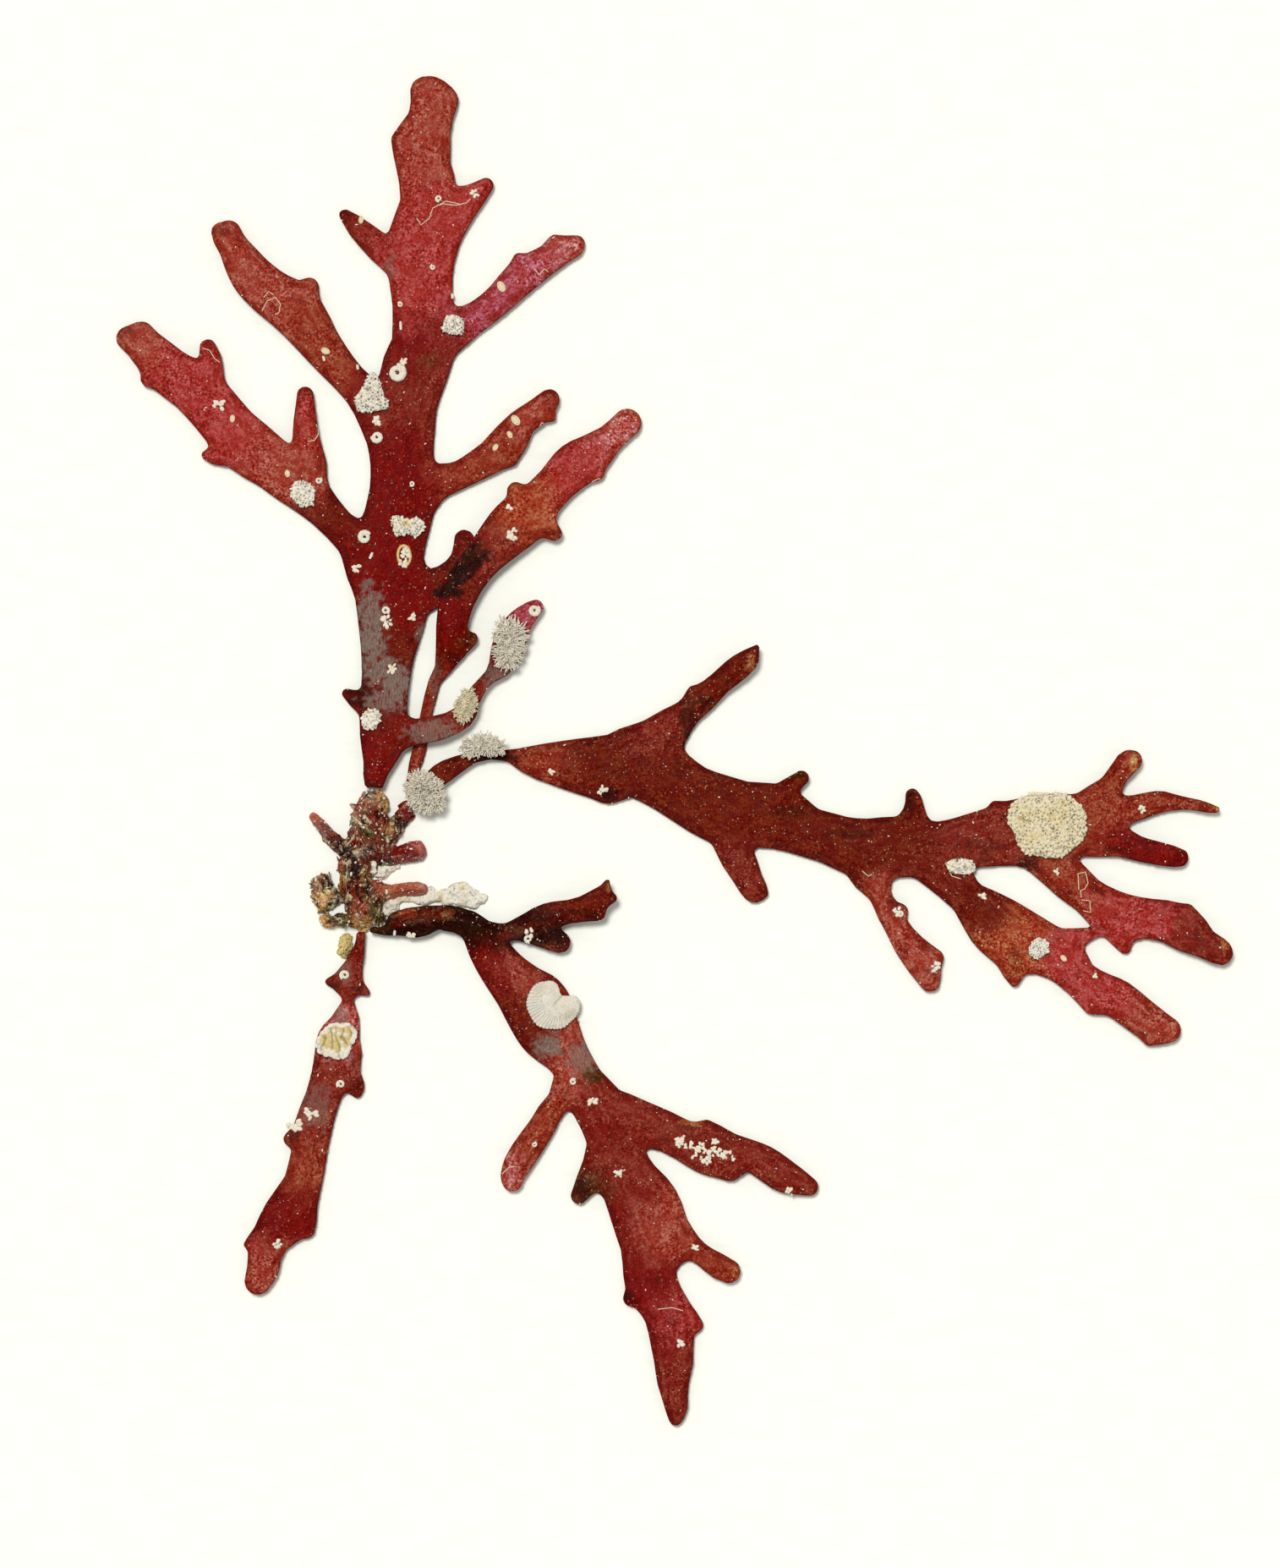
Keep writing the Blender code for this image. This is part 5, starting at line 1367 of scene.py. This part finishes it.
class SEAWEED_OT_holdfast(bpy.types.Operator):
    """Makes the gnarled clump that all the fronds spring from"""

    bl_idname = "seaweed.holdfast"
    bl_label = "Holdfast"

    def execute(self, context):
        look = context.scene.seaweed_growths
        rng = random.Random(look.seed)
        frond = context.scene.seaweed_fronds
        material = frond_skin(frond, "clump_skin", 0.3, 0.3)
        for node in GNARLS:
            gnarled(node, look, frond, material, rng)
        return {"FINISHED"}


class SEAWEED_OT_crusts(bpy.types.Operator):
    """Makes the crusts of cells and the fluted disc"""

    bl_idname = "seaweed.crusts"
    bl_label = "Crusts"

    def execute(self, context):
        look = context.scene.seaweed_growths
        rng = random.Random(look.seed)
        for colour in ("cream", "white", "grey", "yellow"):
            lime_finish(colour + "_lime", getattr(look, colour), look)
        for node, crust in CRUSTS.items():
            cell_crust(node, crust, look, rng)
        fan_crust(look, rng)
        notched_disc(look)
        return {"FINISHED"}


class SEAWEED_OT_tufts(bpy.types.Operator):
    """Makes the matted tufts and sponges, with their hairs"""

    bl_idname = "seaweed.tufts"
    bl_label = "Tufts and sponges"

    def execute(self, context):
        look = context.scene.seaweed_growths
        rng = random.Random(look.seed + TUFT_SEED)
        for node, style in TUFTS.items():
            tuft(node, style, look, rng)
        ground = Ground(BLADES + ("holdfast_gnarled",))
        for name, style in MASSES.items():
            mass(name, style, ground, look, rng)
        return {"FINISHED"}


class SEAWEED_OT_worm_tubes(bpy.types.Operator):
    """Makes the coiled lime tubes, each where its solid is"""

    bl_idname = "seaweed.worm_tubes"
    bl_label = "Worm tubes"

    def execute(self, context):
        rng = random.Random(context.scene.seaweed_growths.seed + TUBE_SEED)
        ground = Ground(BLADES)
        for node, spot in WORM_TUBES.items():
            growth_piece(node + "_coil", "white", "shell", [(coil, [spot], 1.8)], ground, rng, (node,))
        return {"FINISHED"}


class SEAWEED_OT_small_growths(bpy.types.Operator):
    """Makes the small rings, beads, ovals, rods, threads and grains on the blades"""

    bl_idname = "seaweed.small_growths"
    bl_label = "Small growths"

    def execute(self, context):
        rng = random.Random(context.scene.seaweed_growths.seed + SMALL_SEED)
        ground = Ground(BLADES)
        for name, (colour, slot, replaced, shapes) in SMALL_GROWTHS.items():
            growth_piece(name, colour, slot, shapes, ground, rng, replaced)
        threads(ground)
        low, high = (Vector(corner) / MM for corner in CAD_BOX)
        grains("white_grains", WHITE_GRAINS, 1.0, low, high, ground, rng)
        # White grains on the old clumps are painted glints.
        low, high = (spot_on(*corner) for corner in CLUMP_CORNERS)
        clumps = Ground(tuple(node + "_gnarled" for node in GNARLS))
        grains("clump_glint_grains", CLUMP_GLINT_GRAINS, CLUMP_COARSENESS, low, high, clumps, rng)
        return {"FINISHED"}


class SEAWEED_OT_stage(bpy.types.Operator):
    """Lays the paper, and sets the light and the camera straight above"""

    bl_idname = "seaweed.stage"
    bl_label = "Paper, light and camera"

    def execute(self, context):
        look = context.scene.seaweed_stage
        paper = sheet_of_paper(look)
        context.scene.collection.objects.link(paper)
        world = bpy.data.worlds.new("even_light")
        world.use_nodes = True
        world.node_tree.nodes["Background"].inputs["Color"].default_value = (1, 1, 1, 1)
        world.node_tree.nodes["Background"].inputs["Strength"].default_value = look.sky
        context.scene.world = world
        sun = bpy.data.lights.new("window", "SUN")
        sun.energy = look.sun
        sun.angle = look.softness
        lamp = bpy.data.objects.new("window", sun)
        lamp.rotation_euler = Euler((*map(math.radians, SUN_LEAN), 0))
        context.scene.collection.objects.link(lamp)
        lens = bpy.data.cameras.new("scanner")
        lens.lens = look.lens
        lens.sensor_width = 36
        lens.clip_end = 10
        camera = bpy.data.objects.new("scanner", lens)
        camera.location = place(SCAN_WIDTH / 2, SCAN_HEIGHT / 2, look.distance + 1 * MM)
        context.scene.collection.objects.link(camera)
        context.scene.camera = camera
        context.scene.view_settings.view_transform = "Standard"
        return {"FINISHED"}


OPERATORS = (
    SEAWEED_OT_fronds,
    SEAWEED_OT_holdfast,
    SEAWEED_OT_crusts,
    SEAWEED_OT_tufts,
    SEAWEED_OT_worm_tubes,
    SEAWEED_OT_small_growths,
    SEAWEED_OT_stage,
)
SETTINGS = {"seaweed_fronds": FrondLook, "seaweed_growths": GrowthLook, "seaweed_stage": StageLook}


class SEAWEED_PT_panel(bpy.types.Panel):
    """Lists the steps that dress the seaweed, with their settings"""

    bl_label = "Pressed seaweed"
    bl_idname = "SEAWEED_PT_panel"
    bl_space_type = "VIEW_3D"
    bl_region_type = "UI"
    bl_category = "Seaweed"

    def draw(self, context):
        for step in OPERATORS:
            self.layout.operator(step.bl_idname)
        for name in SETTINGS:
            box = self.layout.box()
            group = getattr(context.scene, name)
            for setting in group.__annotations__:
                box.prop(group, setting)


CLASSES = (*SETTINGS.values(), *OPERATORS, SEAWEED_PT_panel)


def register():
    for kind in CLASSES:
        bpy.utils.register_class(kind)
    for name, kind in SETTINGS.items():
        setattr(bpy.types.Scene, name, bpy.props.PointerProperty(type=kind))


def unregister():
    for name in SETTINGS:
        delattr(bpy.types.Scene, name)
    for kind in reversed(CLASSES):
        bpy.utils.unregister_class(kind)


def main():
    """Dresses the seaweed step by step."""
    register()
    bpy.ops.seaweed.fronds()
    bpy.ops.seaweed.holdfast()
    bpy.ops.seaweed.crusts()
    bpy.ops.seaweed.tufts()
    bpy.ops.seaweed.worm_tubes()
    bpy.ops.seaweed.small_growths()
    bpy.ops.seaweed.stage()


if __name__ == "__main__":
    main()
